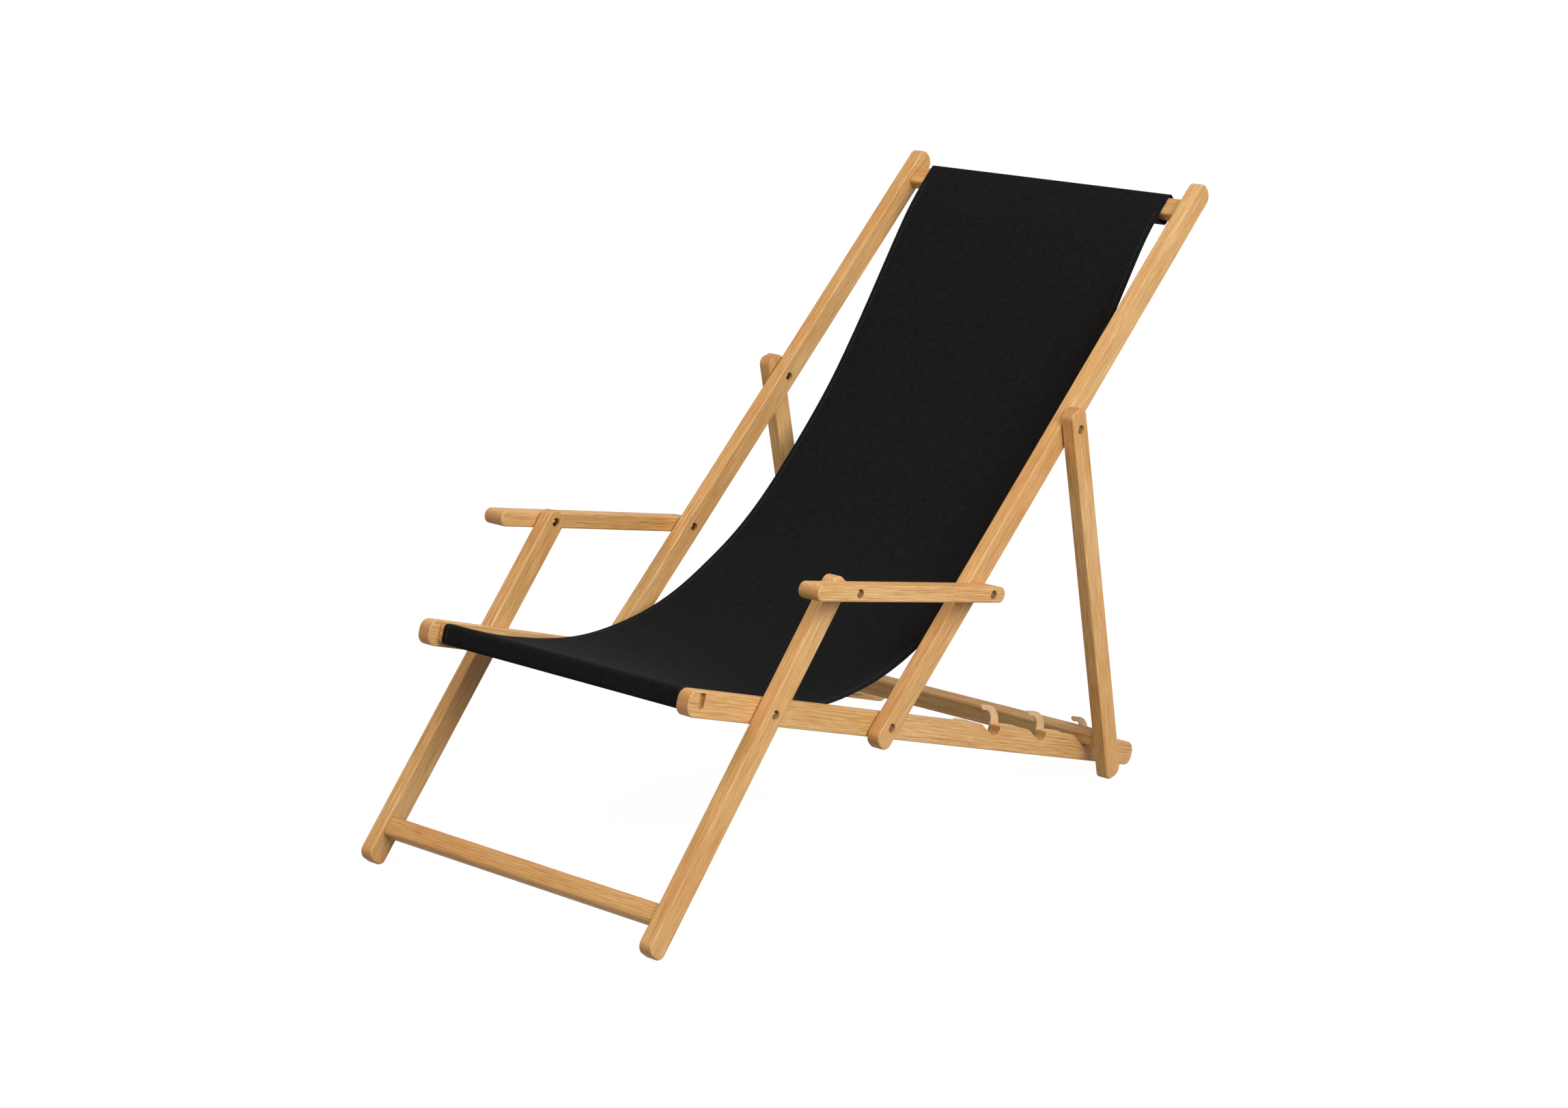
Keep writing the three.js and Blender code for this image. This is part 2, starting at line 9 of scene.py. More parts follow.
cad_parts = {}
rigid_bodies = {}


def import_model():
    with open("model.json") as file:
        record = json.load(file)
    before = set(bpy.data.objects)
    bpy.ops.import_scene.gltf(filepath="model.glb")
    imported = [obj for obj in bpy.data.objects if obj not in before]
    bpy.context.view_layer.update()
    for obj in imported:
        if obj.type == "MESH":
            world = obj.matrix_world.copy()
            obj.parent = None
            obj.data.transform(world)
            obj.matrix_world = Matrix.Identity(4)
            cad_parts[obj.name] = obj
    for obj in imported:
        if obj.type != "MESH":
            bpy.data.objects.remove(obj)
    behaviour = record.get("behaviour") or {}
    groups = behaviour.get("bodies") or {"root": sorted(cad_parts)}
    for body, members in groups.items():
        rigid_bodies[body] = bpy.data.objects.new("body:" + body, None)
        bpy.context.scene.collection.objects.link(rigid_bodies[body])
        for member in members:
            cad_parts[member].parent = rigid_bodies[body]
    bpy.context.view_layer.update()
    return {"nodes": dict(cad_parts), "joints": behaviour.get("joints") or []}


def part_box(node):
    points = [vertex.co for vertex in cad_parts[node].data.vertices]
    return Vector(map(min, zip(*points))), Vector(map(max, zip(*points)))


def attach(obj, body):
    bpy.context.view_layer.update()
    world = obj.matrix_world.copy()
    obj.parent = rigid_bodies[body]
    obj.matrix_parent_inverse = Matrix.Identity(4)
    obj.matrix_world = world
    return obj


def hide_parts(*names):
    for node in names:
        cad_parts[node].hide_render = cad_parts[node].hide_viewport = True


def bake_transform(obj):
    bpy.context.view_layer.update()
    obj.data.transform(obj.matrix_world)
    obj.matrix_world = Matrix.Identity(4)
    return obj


for leftover in list(bpy.data.objects):
    bpy.data.objects.remove(leftover)
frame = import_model()
scene = bpy.context.scene
mm = 0.001
sides = {"left": 1, "right": -1}  # the sitter's left is +X

# Camera: its place and turn were fitted to the bolts and board edges in the photo
camera = {
    "place": (2.7834, -3.3048, 1.4818), "azimuth": 40.401, "elevation": 14.482, "roll": 0.854,
    "lens": 73.54, "sensor": 36, "reach": 100,
}


def addCamera():
    azimuth, elevation, roll = (math.radians(camera[key]) for key in ("azimuth", "elevation", "roll"))
    level = Vector((math.cos(azimuth), math.sin(azimuth), 0))
    flat = math.cos(elevation)
    ahead = Vector((-math.sin(azimuth) * flat, math.cos(azimuth) * flat, -math.sin(elevation)))
    over = level.cross(ahead)
    right = level * math.cos(roll) + over * math.sin(roll)
    up = over * math.cos(roll) - level * math.sin(roll)
    lens = bpy.data.cameras.new("camera")
    lens.lens = camera["lens"]
    lens.sensor_width = camera["sensor"]
    lens.clip_end = camera["reach"]
    seen = bpy.data.objects.new("camera", lens)
    turn = Matrix((right, up, -ahead)).transposed().to_4x4()
    seen.matrix_world = Matrix.Translation(camera["place"]) @ turn
    scene.collection.objects.link(seen)
    scene.camera = seen


addCamera()
print("camera placed")


# Nodes and colours
def fromHex(code):
    channels = [int(code[i:i + 2], 16) / 255 for i in (1, 3, 5)]
    return [c / 12.92 if c <= 0.04045 else ((c + 0.055) / 1.055) ** 2.4 for c in channels] + [1.0]


def setStops(elements, stops):
    while len(elements) < len(stops):
        elements.new(0.5)
    for element, (position, tone) in zip(elements, stops):
        element.position = position
        element.color = fromHex(tone) if isinstance(tone, str) else [tone, tone, tone, 1]


def addNode(tree, kind, values=None):
    # Each value is a setting, or what feeds the socket: a socket, or a node for its first output
    node = tree.nodes.new(kind)
    for key, value in (values or {}).items():
        if isinstance(value, bpy.types.Node):
            value = value.outputs[0]
        if isinstance(value, bpy.types.NodeSocket):
            tree.links.new(value, node.inputs[key])
        elif key == "stops":
            setStops(node.color_ramp.elements, value)
        elif isinstance(key, int) or key in node.inputs:
            node.inputs[key].default_value = value
        else:
            setattr(node, key, value)
    return node


def cleared(tree):
    # Empties a tree, and gives the function that adds nodes to it
    tree.nodes.clear()
    return partial(addNode, tree)


def newMaterial(name):
    material = bpy.data.materials.new(name)
    material.use_nodes = True
    return material, cleared(material.node_tree)


def finishMaterial(material, add, shader):
    add("ShaderNodeOutputMaterial", {"Surface": shader})
    return material


# Studio
studio = {
    "floorSize": 60, "floorTone": "#6c6c6a", "floorLift": 0.935, "floorDrop": 0.0002,
    "worldTone": "#ffedd2", "worldLight": 0.66,
    "lamps": [
        {"name": "keyLamp", "place": (3.4, -0.7, 2.6), "size": 3.0, "power": 156, "tone": "#ffffff"},
        {"name": "fillLamp", "place": (-0.4, -2.5, 3.3), "size": 2.4, "power": 25, "tone": "#ffe0ba"},
    ],
    "aim": (0, 0, 0.4),
}
plainWhite = (1, 1, 1, 1)


def whiteRays(add):
    # 1 for the rays that see the white ground: from the camera, off a gloss and through glass
    path = add("ShaderNodeLightPath")
    sharp = add("ShaderNodeMath", {
        "operation": "MAXIMUM", 0: path.outputs["Is Camera Ray"], 1: path.outputs["Is Glossy Ray"]})
    return add("ShaderNodeMath", {"operation": "MAXIMUM", 0: sharp, 1: path.outputs["Is Transmission Ray"]})


def addWorld():
    world = bpy.data.worlds.new("studio")
    world.use_nodes = True
    add = cleared(world.node_tree)
    soft = add("ShaderNodeBackground", {
        "Color": fromHex(studio["worldTone"]), "Strength": studio["worldLight"]})
    white = add("ShaderNodeBackground", {"Color": plainWhite, "Strength": 1})
    mix = add("ShaderNodeMixShader", {0: whiteRays(add), 1: soft, 2: white})
    add("ShaderNodeOutputWorld", {"Surface": mix})
    scene.world = world


def addFloor():
    # Matt studio paper: the part of it that the camera sees is lifted to white, and it keeps the shadow
    paper, add = newMaterial("mattStudioPaper")
    lift = add("ShaderNodeMath", {"operation": "MULTIPLY", 0: whiteRays(add), 1: studio["floorLift"]})
    matt = add("ShaderNodeBsdfDiffuse", {"Color": fromHex(studio["floorTone"])})
    glow = add("ShaderNodeEmission", {"Color": plainWhite, "Strength": lift})
    finishMaterial(paper, add, add("ShaderNodeAddShader", {0: matt, 1: glow}))
    half, low = studio["floorSize"] / 2, -studio["floorDrop"]
    mesh = bpy.data.meshes.new("floor")
    corners = [(x * half, y * half, low) for x, y in ((-1, -1), (1, -1), (1, 1), (-1, 1))]
    mesh.from_pydata(corners, [], [(0, 1, 2, 3)])
    mesh.materials.append(paper)
    floor = bpy.data.objects.new("floor", mesh)
    scene.collection.objects.link(floor)


def addLamps():
    for lamp in studio["lamps"]:
        light = bpy.data.lights.new(lamp["name"], "AREA")
        light.size = lamp["size"]
        light.energy = lamp["power"]
        light.color = fromHex(lamp["tone"])[:3]
        source = bpy.data.objects.new(lamp["name"], light)
        source.location = lamp["place"]
        way = Vector(lamp["place"]) - Vector(studio["aim"])
        source.rotation_euler = way.to_track_quat("Z", "Y").to_euler()
        scene.collection.objects.link(source)


addWorld()
addFloor()
addLamps()
scene.view_settings.view_transform = "Standard"
print("studio lit")

# The folding linkage in side view, as (y, z) in millimetres, from the frame's own joints
places = {joint["name"]: Vector(joint["pos_m"]).yz / mm for joint in frame["joints"]}
backBolt = places["back_recline"]
legBolt = places["leg_swing"]
armrestRearBolt = places["armrest_left_swing"]
propBolt = places["prop_swing"]
low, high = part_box("armrest_front_bolt_left")
armrestFrontBolt = (low + high).yz / 2 / mm
propLean = -77.5641  # degrees; the prop legs point down to the notch bar


def angleOf(start, end):
    return math.atan2(end.y - start.y, end.x - start.x)


links = {
    "rail": {"pivot": backBolt, "turn": angleOf(legBolt, backBolt)},
    "leg": {"pivot": legBolt, "turn": angleOf(legBolt, armrestFrontBolt)},
    "back": {"pivot": backBolt, "turn": angleOf(backBolt, propBolt)},
    "armrest": {"pivot": armrestRearBolt, "turn": angleOf(armrestFrontBolt, armrestRearBolt)},
    "prop": {"pivot": propBolt, "turn": math.radians(propLean)},
}


def sidePoint(link, along, rise):
    turn = links[link]["turn"]
    way = Vector((math.cos(turn), math.sin(turn)))
    return links[link]["pivot"] + way * along + Vector((-way.y, way.x)) * rise


# Timber: oiled beech, planed. Fine straight grain along each board, short pores, darker and
# plainer on the sawn ends; a satin oil finish gives a wide soft shine
timber = {
    "tones": [(0.34, "#9a6d3f"), (0.45, "#c1975f"), (0.54, "#d1aa74"), (0.67, "#e4c495")],
    "patchTones": [(0.35, "#f0dcc0"), (0.65, "#ffffff")], "patchShare": 0.8, "endTone": "#8a5a2c",
    # Noises: the width of a streak in mm, how short it is drawn along the grain, and its seed
    "bands": {"size": 1.5, "stretch": 0.015, "detail": 3, "roughness": 0.55, "seed": 3.1},
    "fibres": {"size": 0.6, "stretch": 0.015, "detail": 2, "roughness": 0.6, "seed": 7.7},
    "pores": {"size": 0.6, "stretch": 0.06, "detail": 1, "roughness": 0.5, "seed": 5.3},
    "patches": {"size": 90, "stretch": 0.35, "detail": 2, "roughness": 0.5, "seed": 1.9},
    # Year rings, mm apart, round a pith that lies outside the board
    "rings": {"size": 2.6, "stretch": 0.05, "pith": (0.09, 0, 0.05),
              "look": {"Distortion": 2.2, "Detail": 2, "Detail Scale": 0.9, "Detail Roughness": 0.55}},
    "bandShare": 0.34, "fibreShare": 0.6, "ringShare": 0.06,
    "poreStops": [(0.66, 0.0), (0.72, 1.0)], "poreShare": 0.5,
    "endStops": [(0.45, 0.0), (0.95, 0.55)], "endRings": {1: -0.5, 2: 0.95},
    "roughness": {"To Min": 0.6, "To Max": 0.44}, "bump": {"Strength": 0.4, "Distance": 0.0004},
    "ior": 1.47,
}
ringPitch = 0.314  # a wave texture's rings stand this far apart at a scale of 1


def grainNoise(add, space, grain):
    seed = grain["seed"]
    pulled = add("ShaderNodeVectorMath", {
        "operation": "MULTIPLY_ADD", 0: space, 1: (1, grain["stretch"], 1), 2: (seed, seed * 0.37, -seed)})
    return add("ShaderNodeTexNoise", {
        "Vector": pulled, "Scale": 1 / (grain["size"] * mm), "Detail": grain["detail"],
        "Roughness": grain["roughness"]})


def yearRings(add, space, rings):
    pulled = add("ShaderNodeVectorMath", {
        "operation": "MULTIPLY_ADD", 0: space, 1: (1, rings["stretch"], 1), 2: rings["pith"]})
    return add("ShaderNodeTexWave", {
        "wave_type": "RINGS", "rings_direction": "Y", "Scale": ringPitch / (rings["size"] * mm),
        "Vector": pulled, **rings["look"]}).outputs["Fac"]


def timberMaterial(link, across=False):
    material, add = newMaterial(f"oiledBeech_{link}" + ("_crossbar" if across else ""))
    coordinates = add("ShaderNodeTexCoord")
    turned = []
    for source, kind in (("Object", "POINT"), ("Normal", "VECTOR")):
        space = add("ShaderNodeMapping", {
            "vector_type": kind, "Rotation": (-links[link]["turn"], 0, 0),
            "Vector": coordinates.outputs[source]})
        if across:  # a crossbar's grain runs along X
            space = add("ShaderNodeMapping", {
                "vector_type": kind, "Rotation": (0, 0, math.pi / 2), "Vector": space})
        turned.append(space)
    space, facing = turned
    bands, fibres, pores, patches = (
        grainNoise(add, space, timber[name]) for name in ("bands", "fibres", "pores", "patches"))
    rings = yearRings(add, space, timber["rings"])
    mixed = 0.0
    for pattern, share in ((bands, "bandShare"), (fibres, "fibreShare"), (rings, "ringShare")):
        mixed = add("ShaderNodeMath", {"operation": "MULTIPLY_ADD", 0: pattern, 1: timber[share], 2: mixed})
    grain = add("ShaderNodeValToRGB", {"Fac": mixed, "stops": timber["tones"]})
    tint = add("ShaderNodeValToRGB", {"Fac": patches, "stops": timber["patchTones"]})
    colour = add("ShaderNodeMix", {
        "data_type": "RGBA", "blend_type": "MULTIPLY", 0: timber["patchShare"], 6: grain, 7: tint})
    # Pores and sawn ends are darker; on the ends the rings show
    pores = add("ShaderNodeValToRGB", {"Fac": pores, "stops": timber["poreStops"]})
    poreShare = add("ShaderNodeMath", {"operation": "MULTIPLY", 0: pores, 1: timber["poreShare"]})
    split = add("ShaderNodeSeparateXYZ", {0: facing})
    ends = add("ShaderNodeMath", {"operation": "ABSOLUTE", 0: split.outputs["Y"]})
    ends = add("ShaderNodeValToRGB", {"Fac": ends, "stops": timber["endStops"]})
    endRings = add("ShaderNodeMath", {"operation": "MULTIPLY_ADD", 0: rings, **timber["endRings"]})
    endShare = add("ShaderNodeMath", {"operation": "MULTIPLY", 0: ends, 1: endRings})
    for share in (poreShare, endShare):
        colour = add("ShaderNodeMix", {
            "data_type": "RGBA", "blend_type": "MIX", 0: share, 6: colour.outputs[2],
            7: fromHex(timber["endTone"])})
    rough = add("ShaderNodeMapRange", {"Value": mixed, **timber["roughness"]})
    bump = add("ShaderNodeBump", {"Height": mixed, **timber["bump"]})
    shader = add("ShaderNodeBsdfPrincipled", {
        "IOR": timber["ior"], "Base Color": colour.outputs[2], "Roughness": rough, "Normal": bump})
    return finishMaterial(material, add, shader)


timbers = {link: timberMaterial(link) for link in links}
crossTimbers = {link: timberMaterial(link, across=True) for link in ("rail", "leg", "back", "prop")}

finishes = {
    # Hook plates: pressed birch ply with a smooth lacquered face, hardly any grain
    "lacqueredPlyPlate": {
        "cloud": 11.11, "detail": 3, "tones": [(0.3, "#c6a37b"), (0.7, "#d2b38c")], "fine": 0.6667,
        "roughness": {"To Min": 0.4, "To Max": 0.52}, "bump": {"Strength": 0.08, "Distance": 0.0002},
        "shader": {"IOR": 1.5}},
    # Bolts and cap nuts: turned steel; its dark brown base colour is a painted reflection of the brown wood
    # round it and painted shade from the counterbores, with soft wear in its gloss
    "bronzedSteel": {
        "cloud": 1.4286, "detail": 3, "tones": [(0.35, "#664831"), (0.65, "#97714e")],
        "roughness": {"To Min": 0.2, "To Max": 0.34}, "shader": {"Metallic": 1.0}},
    # Screws and washers: turned brass, a little dulled
    "turnedBrass": {
        "cloud": 1.4286, "detail": 3, "tones": [(0.35, "#b08d4b"), (0.65, "#d9b873")],
        "roughness": {"To Min": 0.22, "To Max": 0.4}, "shader": {"Metallic": 1.0}},
    # Stitches: twisted polyester thread, charcoal, a shade lighter than the cloth
    "charcoalPolyesterThread": {
        "cloud": 0.4, "detail": 1, "tones": [(0.3, "#262628"), (0.7, "#363638")],
        "bump": {"Strength": 0.3, "Distance": 0.0001}, "shader": {"Roughness": 0.55}},
}


def smallPartMaterial(name):
    # cloud and fine are the sizes of the noises' cells in millimetres
    finish = finishes[name]
    material, add = newMaterial(name)
    space = add("ShaderNodeTexCoord").outputs["Object"]
    cloud = add("ShaderNodeTexNoise", {
        "Vector": space, "Scale": 1 / (finish["cloud"] * mm), "Detail": finish["detail"]})
    fine = cloud
    if "fine" in finish:
        fine = add("ShaderNodeTexNoise", {"Vector": space, "Scale": 1 / (finish["fine"] * mm), "Detail": 1})
    values = dict(finish["shader"])
    values["Base Color"] = add("ShaderNodeValToRGB", {"Fac": cloud, "stops": finish["tones"]})
    if "roughness" in finish:
        values["Roughness"] = add("ShaderNodeMapRange", {"Value": fine, **finish["roughness"]})
    if "bump" in finish:
        values["Normal"] = add("ShaderNodeBump", {"Height": fine, **finish["bump"]})
    shader = add("ShaderNodeBsdfPrincipled", values)
    return finishMaterial(material, add, shader)


# The steel's brown tint is painted reflection and painted counterbore shade, not a finish of its own
steelMaterial = smallPartMaterial("bronzedSteel")
brassMaterial = smallPartMaterial("turnedBrass")
plyMaterial = smallPartMaterial("lacqueredPlyPlate")
stitchMaterial = smallPartMaterial("charcoalPolyesterThread")

# Sling cloth: plain-woven cotton canvas, dyed black; matt, with a slight nap.
# The real threads stand 0.6 mm apart; they are drawn 1.5 mm apart to show in the render
canvas = {
    "tones": [(0.32, "#07080a"), (0.66, "#1b1c1f")], "thread": 1.5, "slub": 2.2, "slubStretch": 0.12,
    "slubDetail": 3, "weaveShare": 0.3, "roughness": 0.95, "specular": 0.07,
    "bump": {"Strength": 0.35, "Distance": 0.0004},
}


def canvasMaterial():
    material, add = newMaterial("blackCottonCanvas")
    space = add("ShaderNodeUVMap", {"uv_map": "UVMap"})
    thread = canvas["thread"] * mm
    split = add("ShaderNodeSeparateXYZ", {0: space})
    waves = []
    for axis in ("X", "Y"):
        phase = add("ShaderNodeMath", {"operation": "MULTIPLY", 0: split.outputs[axis], 1: math.pi / thread})
        wave = add("ShaderNodeMath", {"operation": "SINE", 0: phase})
        waves.append(add("ShaderNodeMath", {"operation": "ABSOLUTE", 0: wave}))
    cells = add("ShaderNodeVectorMath", {"operation": "SCALE", 0: space, "Scale": 1 / thread})
    over = add("ShaderNodeTexChecker", {"Vector": cells, "Scale": 1.0})
    weave = add("ShaderNodeMix", {"data_type": "FLOAT", 0: over.outputs["Fac"], 2: waves[0], 3: waves[1]})
    slubs = []
    for stretch in ((1, canvas["slubStretch"], 1), (canvas["slubStretch"], 1, 1)):
        pulled = add("ShaderNodeVectorMath", {"operation": "MULTIPLY", 0: space, 1: stretch})
        slubs.append(add("ShaderNodeTexNoise", {
            "Vector": pulled, "Scale": 1 / (canvas["slub"] * mm), "Detail": canvas["slubDetail"]}))
    slub = add("ShaderNodeMath", {"operation": "ADD", 0: slubs[0], 1: slubs[1]})
    slub = add("ShaderNodeMath", {"operation": "MULTIPLY", 0: slub, 1: 0.5})
    mixed = add("ShaderNodeMath", {"operation": "MULTIPLY_ADD", 0: weave, 1: canvas["weaveShare"], 2: slub})
    mixed = add("ShaderNodeMath", {"operation": "SUBTRACT", 0: mixed, 1: canvas["weaveShare"] / 2})
    colour = add("ShaderNodeValToRGB", {"Fac": mixed, "stops": canvas["tones"]})
    bump = add("ShaderNodeBump", {"Height": mixed, **canvas["bump"]})
    shader = add("ShaderNodeBsdfPrincipled", {
        "Roughness": canvas["roughness"], "Specular IOR Level": canvas["specular"],
        "Base Color": colour, "Normal": bump})
    return finishMaterial(material, add, shader)


clothMaterial = canvasMaterial()
print("materials mixed")

# Meshes. Angles are in degrees, lengths in millimetres
shaping = {
    "merge": 0.02, "bevelFrom": 40, "bevelSteps": 4, "rimsFrom": 50, "rimSteps": 2, "creaseFrom": 38,
    "arcStep": 9, "rodFacets": 32, "overrun": 2,
}


def newPiece(name, mesh, material):
    piece = bpy.data.objects.new(name, mesh)
    scene.collection.objects.link(piece)
    piece.data.materials.clear()
    piece.data.materials.append(material)
    return piece


def meshFrom(name, bm):
    mesh = bpy.data.meshes.new(name)
    bm.to_mesh(mesh)
    bm.free()
    return mesh


def wireMesh(name, points, edges=()):
    mesh = bpy.data.meshes.new(name)
    mesh.from_pydata([tuple(value * mm for value in point) for point in points], edges, [])
    return mesh


def chain(count, first=0):
    return [(first + i, first + i + 1) for i in range(count - 1)]


def baked(piece):
    bpy.context.view_layer.update()
    shown = piece.evaluated_get(bpy.context.evaluated_depsgraph_get())
    mesh = bpy.data.meshes.new_from_object(shown)
    piece.modifiers.clear()
    piece.data = mesh
    return piece


def arc(along, rise, radius, start, end, step=shaping["arcStep"]):
    count = max(1, math.ceil(abs(end - start) / step))
    angles = [math.radians(start + (end - start) * i / count) for i in range(count + 1)]
    return [(along + radius * math.cos(a), rise + radius * math.sin(a)) for a in angles]


def roundedProfile(start, end, low, high, rounds):
    # rounds: one radius, or those of the corners end-low, end-high, start-high and start-low
    a, b, c, d = rounds if isinstance(rounds, tuple) else (rounds,) * 4
    return (arc(end - a, low + a, a, -90, 0) + arc(end - b, high - b, b, 0, 90)
            + arc(start + c, high - c, c, 90, 180) + arc(start + d, low + d, d, 180, 270))


def boardMesh(link, profile, centre, thickness, ease):
    # The side profile stands in the plane of its link and is as thick as the board across
    bm = bmesh.new()
    clean = [point for i, point in enumerate(profile)
             if (Vector(point) - Vector(profile[i - 1])).length > shaping["merge"]]
    outer, inner = [], []
    for along, rise in clean:
        y, z = sidePoint(link, along, rise)
        inner.append(bm.verts.new(((centre - thickness / 2) * mm, y * mm, z * mm)))
        outer.append(bm.verts.new(((centre + thickness / 2) * mm, y * mm, z * mm)))
    bm.faces.new(outer)
    bm.faces.new(inner[::-1])
    for i in range(len(clean)):
        bm.faces.new((inner[i - 1], inner[i], outer[i], outer[i - 1]))
    bmesh.ops.recalc_face_normals(bm, faces=bm.faces)
    sharp = [edge for edge in bm.edges if edge.calc_face_angle(0) > math.radians(shaping["bevelFrom"])]
    bmesh.ops.bevel(bm, geom=sharp, offset=ease * mm, offset_type="OFFSET", segments=shaping["bevelSteps"],
                    profile=0.5, affect="EDGES", clamp_overlap=False)
    for vert in bm.verts:  # what reaches the floor stands flat on it
        vert.co.z = max(vert.co.z, 0)
    return meshFrom("board", bm)


def crossRod(link, radius, start, end, along):
    bm = bmesh.new()
    y, z = sidePoint(link, along, 0)
    turn = Matrix.Rotation(math.pi / 2, 4, "Y")
    place = Matrix.Translation(((start + end) / 2 * mm, y * mm, z * mm))
    bmesh.ops.create_cone(bm, cap_ends=True, segments=shaping["rodFacets"], radius1=radius * mm,
                          radius2=radius * mm, depth=abs(end - start) * mm, matrix=place @ turn)
    return meshFrom("rod", bm)


def cut(piece, mesh, operation="DIFFERENCE"):
    cutter = newPiece("cutter", mesh, piece.data.materials[0])
    modifier = piece.modifiers.new("cut", "BOOLEAN")
    modifier.operation = operation
    modifier.solver = "EXACT"
    modifier.use_self = True
    modifier.object = cutter
    baked(piece)
    bpy.data.objects.remove(cutter)


def softened(piece, width):
    bevel = piece.modifiers.new("rims", "BEVEL")
    bevel.width = width * mm
    bevel.segments = shaping["rimSteps"]
    bevel.limit_method = "ANGLE"
    bevel.angle_limit = math.radians(shaping["rimsFrom"])
    bevel.use_clamp_overlap = True
    baked(piece)
    bm = bmesh.new()
    bm.from_mesh(piece.data)
    bmesh.ops.remove_doubles(bm, verts=bm.verts, dist=1e-6)
    bm.to_mesh(piece.data)
    bm.free()
    piece.data.shade_smooth()
    piece.data.set_sharp_from_angle(angle=math.radians(shaping["creaseFrom"]))
    smooth = piece.modifiers.new("faces", "WEIGHTED_NORMAL")
    smooth.keep_sharp = True
    baked(piece)


def fitPiece(piece, rims, body, node):
    softened(piece, rims)
    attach(piece, body)
    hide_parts(node)


# Layers from the middle of the chair outwards, as in the frame
layers = {
    "armrest": {"centre": 283, "thickness": 34},
    "prop": {"centre": 276.25, "thickness": 20.5},
    "leg": {"centre": 254.35, "thickness": 20.5},
    "rail": {"centre": 232.45, "thickness": 20.5},
    "plate": {"centre": 220.4, "thickness": 3},
}
# A bolt is (its place along the board, the face with the counterbore: 1 outer, -1 inner);
# rounds are a board's corners: low and high at its end, high and low at its start
bolts = {"hole": 2.8, "counterbore": 6.5, "sink": 4.5}
boardRims, barRims = 0.5, 0.4  # how far the rims of holes and slots are softened
boards = {
    "seat_rail": {
        "link": "rail", "layer": "rail", "body": "seat_frame", "start": -395.5, "end": 630.5, "depth": 35,
        "rounds": (14, 15.5, 14.5, 14.5), "ease": 2.0, "bolts": [(0, -1), (-248.2, -1)]},
    "front_leg": {
        "link": "leg", "layer": "leg", "body": "leg_frame", "start": -346, "end": 202.5, "depth": 32.6,
        "rounds": (13, 13, 13, 10), "ease": 2.4, "bolts": [(0, 1), (187, -1)]},
    "back_rail": {
        "link": "back", "layer": "leg", "body": "back_frame", "start": -31, "end": 957, "depth": 32.6,
        "rounds": (15.5, 12, 14, 14), "ease": 2.4, "bolts": [(0, 1), (230.7, -1), (514.7, -1)]},
    "prop_leg": {
        "link": "prop", "layer": "prop", "body": "prop_frame", "start": -29.5, "end": 545.5, "depth": 32.6,
        "rounds": (9, 15, 12, 12), "ease": 2.4, "bolts": [(0, 1)]},
    "armrest": {
        "link": "armrest", "layer": "armrest", "body": "armrest", "start": -376.9, "end": 27, "depth": 21.8,
        "rounds": 10.88, "ease": 2.4, "bolts": [(0, 1), (-290.9, 1)]},
}
notches = {"walls": (280.4, 396.4, 512.4), "depth": 13.8, "round": 8, "flat": 7.3, "rampRun": 28.9}
frontTenon = {
    "along": -371.1, "rise": 4.0, "length": 10.4, "depth": 20.4, "recess": 5, "play": 0.3, "topRound": 1.5,
    "ease": 0.4, "slotEase": 0.001,
}


def notchPath(wall, floor, top, offset=0):
    slope = notches["depth"] / notches["rampRun"]
    foot = wall - notches["round"] - notches["flat"]
    turn = arc(wall + offset - notches["round"], floor + notches["round"], notches["round"], 0, -90)
    return turn + [(foot, floor), (foot - (top - floor) / slope, top)]


def railProfile(board):
    top = board["depth"] / 2
    path = roundedProfile(board["start"], board["end"], -top, top, board["rounds"])
    half = len(path) // 2
    notched = []
    for wall in reversed(notches["walls"]):
        notched += [(wall, top)] + notchPath(wall, top - notches["depth"], top)
    return path[:half] + notched + path[half:]


def tenonProfile(play=0.0):
    # The front bar's tenon and its slot: rounded below and square above
    t = frontTenon
    halfLength, halfDepth = t["length"] / 2 + play, t["depth"] / 2 + play
    full, small = halfLength - shaping["merge"], t["topRound"]
    return roundedProfile(t["along"] - halfLength, t["along"] + halfLength,
                          t["rise"] - halfDepth, t["rise"] + halfDepth, (full, small, small, full))


def addBoard(name, suffix):
    board = boards[name]
    link, thickness = board["link"], layers[board["layer"]]["thickness"]
    side, half, over = sides[suffix], thickness / 2, shaping["overrun"]
    centre = side * layers[board["layer"]]["centre"]
    if name == "seat_rail":
        profile = railProfile(board)
    else:
        profile = roundedProfile(board["start"], board["end"], -board["depth"] / 2, board["depth"] / 2,
                                 board["rounds"])
    mesh = boardMesh(link, profile, centre, thickness, board["ease"])
    piece = newPiece(f"{name}_board_{suffix}", mesh, timbers[link])
    for along, face in board["bolts"]:
        way = side * face
        cut(piece, crossRod(link, bolts["hole"], centre - half - over, centre + half + over, along))
        seat = centre + way * (half - bolts["sink"])
        cut(piece, crossRod(link, bolts["counterbore"], seat, centre + way * (half + over), along))
    if name == "seat_rail":
        cut(piece, boardMesh(link, tenonProfile(frontTenon["play"]), centre, thickness + 2 * over,
                             frontTenon["slotEase"]))
    body = board["body"] if name != "armrest" else f"armrest_{suffix}"
    fitPiece(piece, boardRims, body, f"{name}_{suffix}")


for suffix in sides:
    for name in boards:
        addBoard(name, suffix)
print("boards planed and drilled")

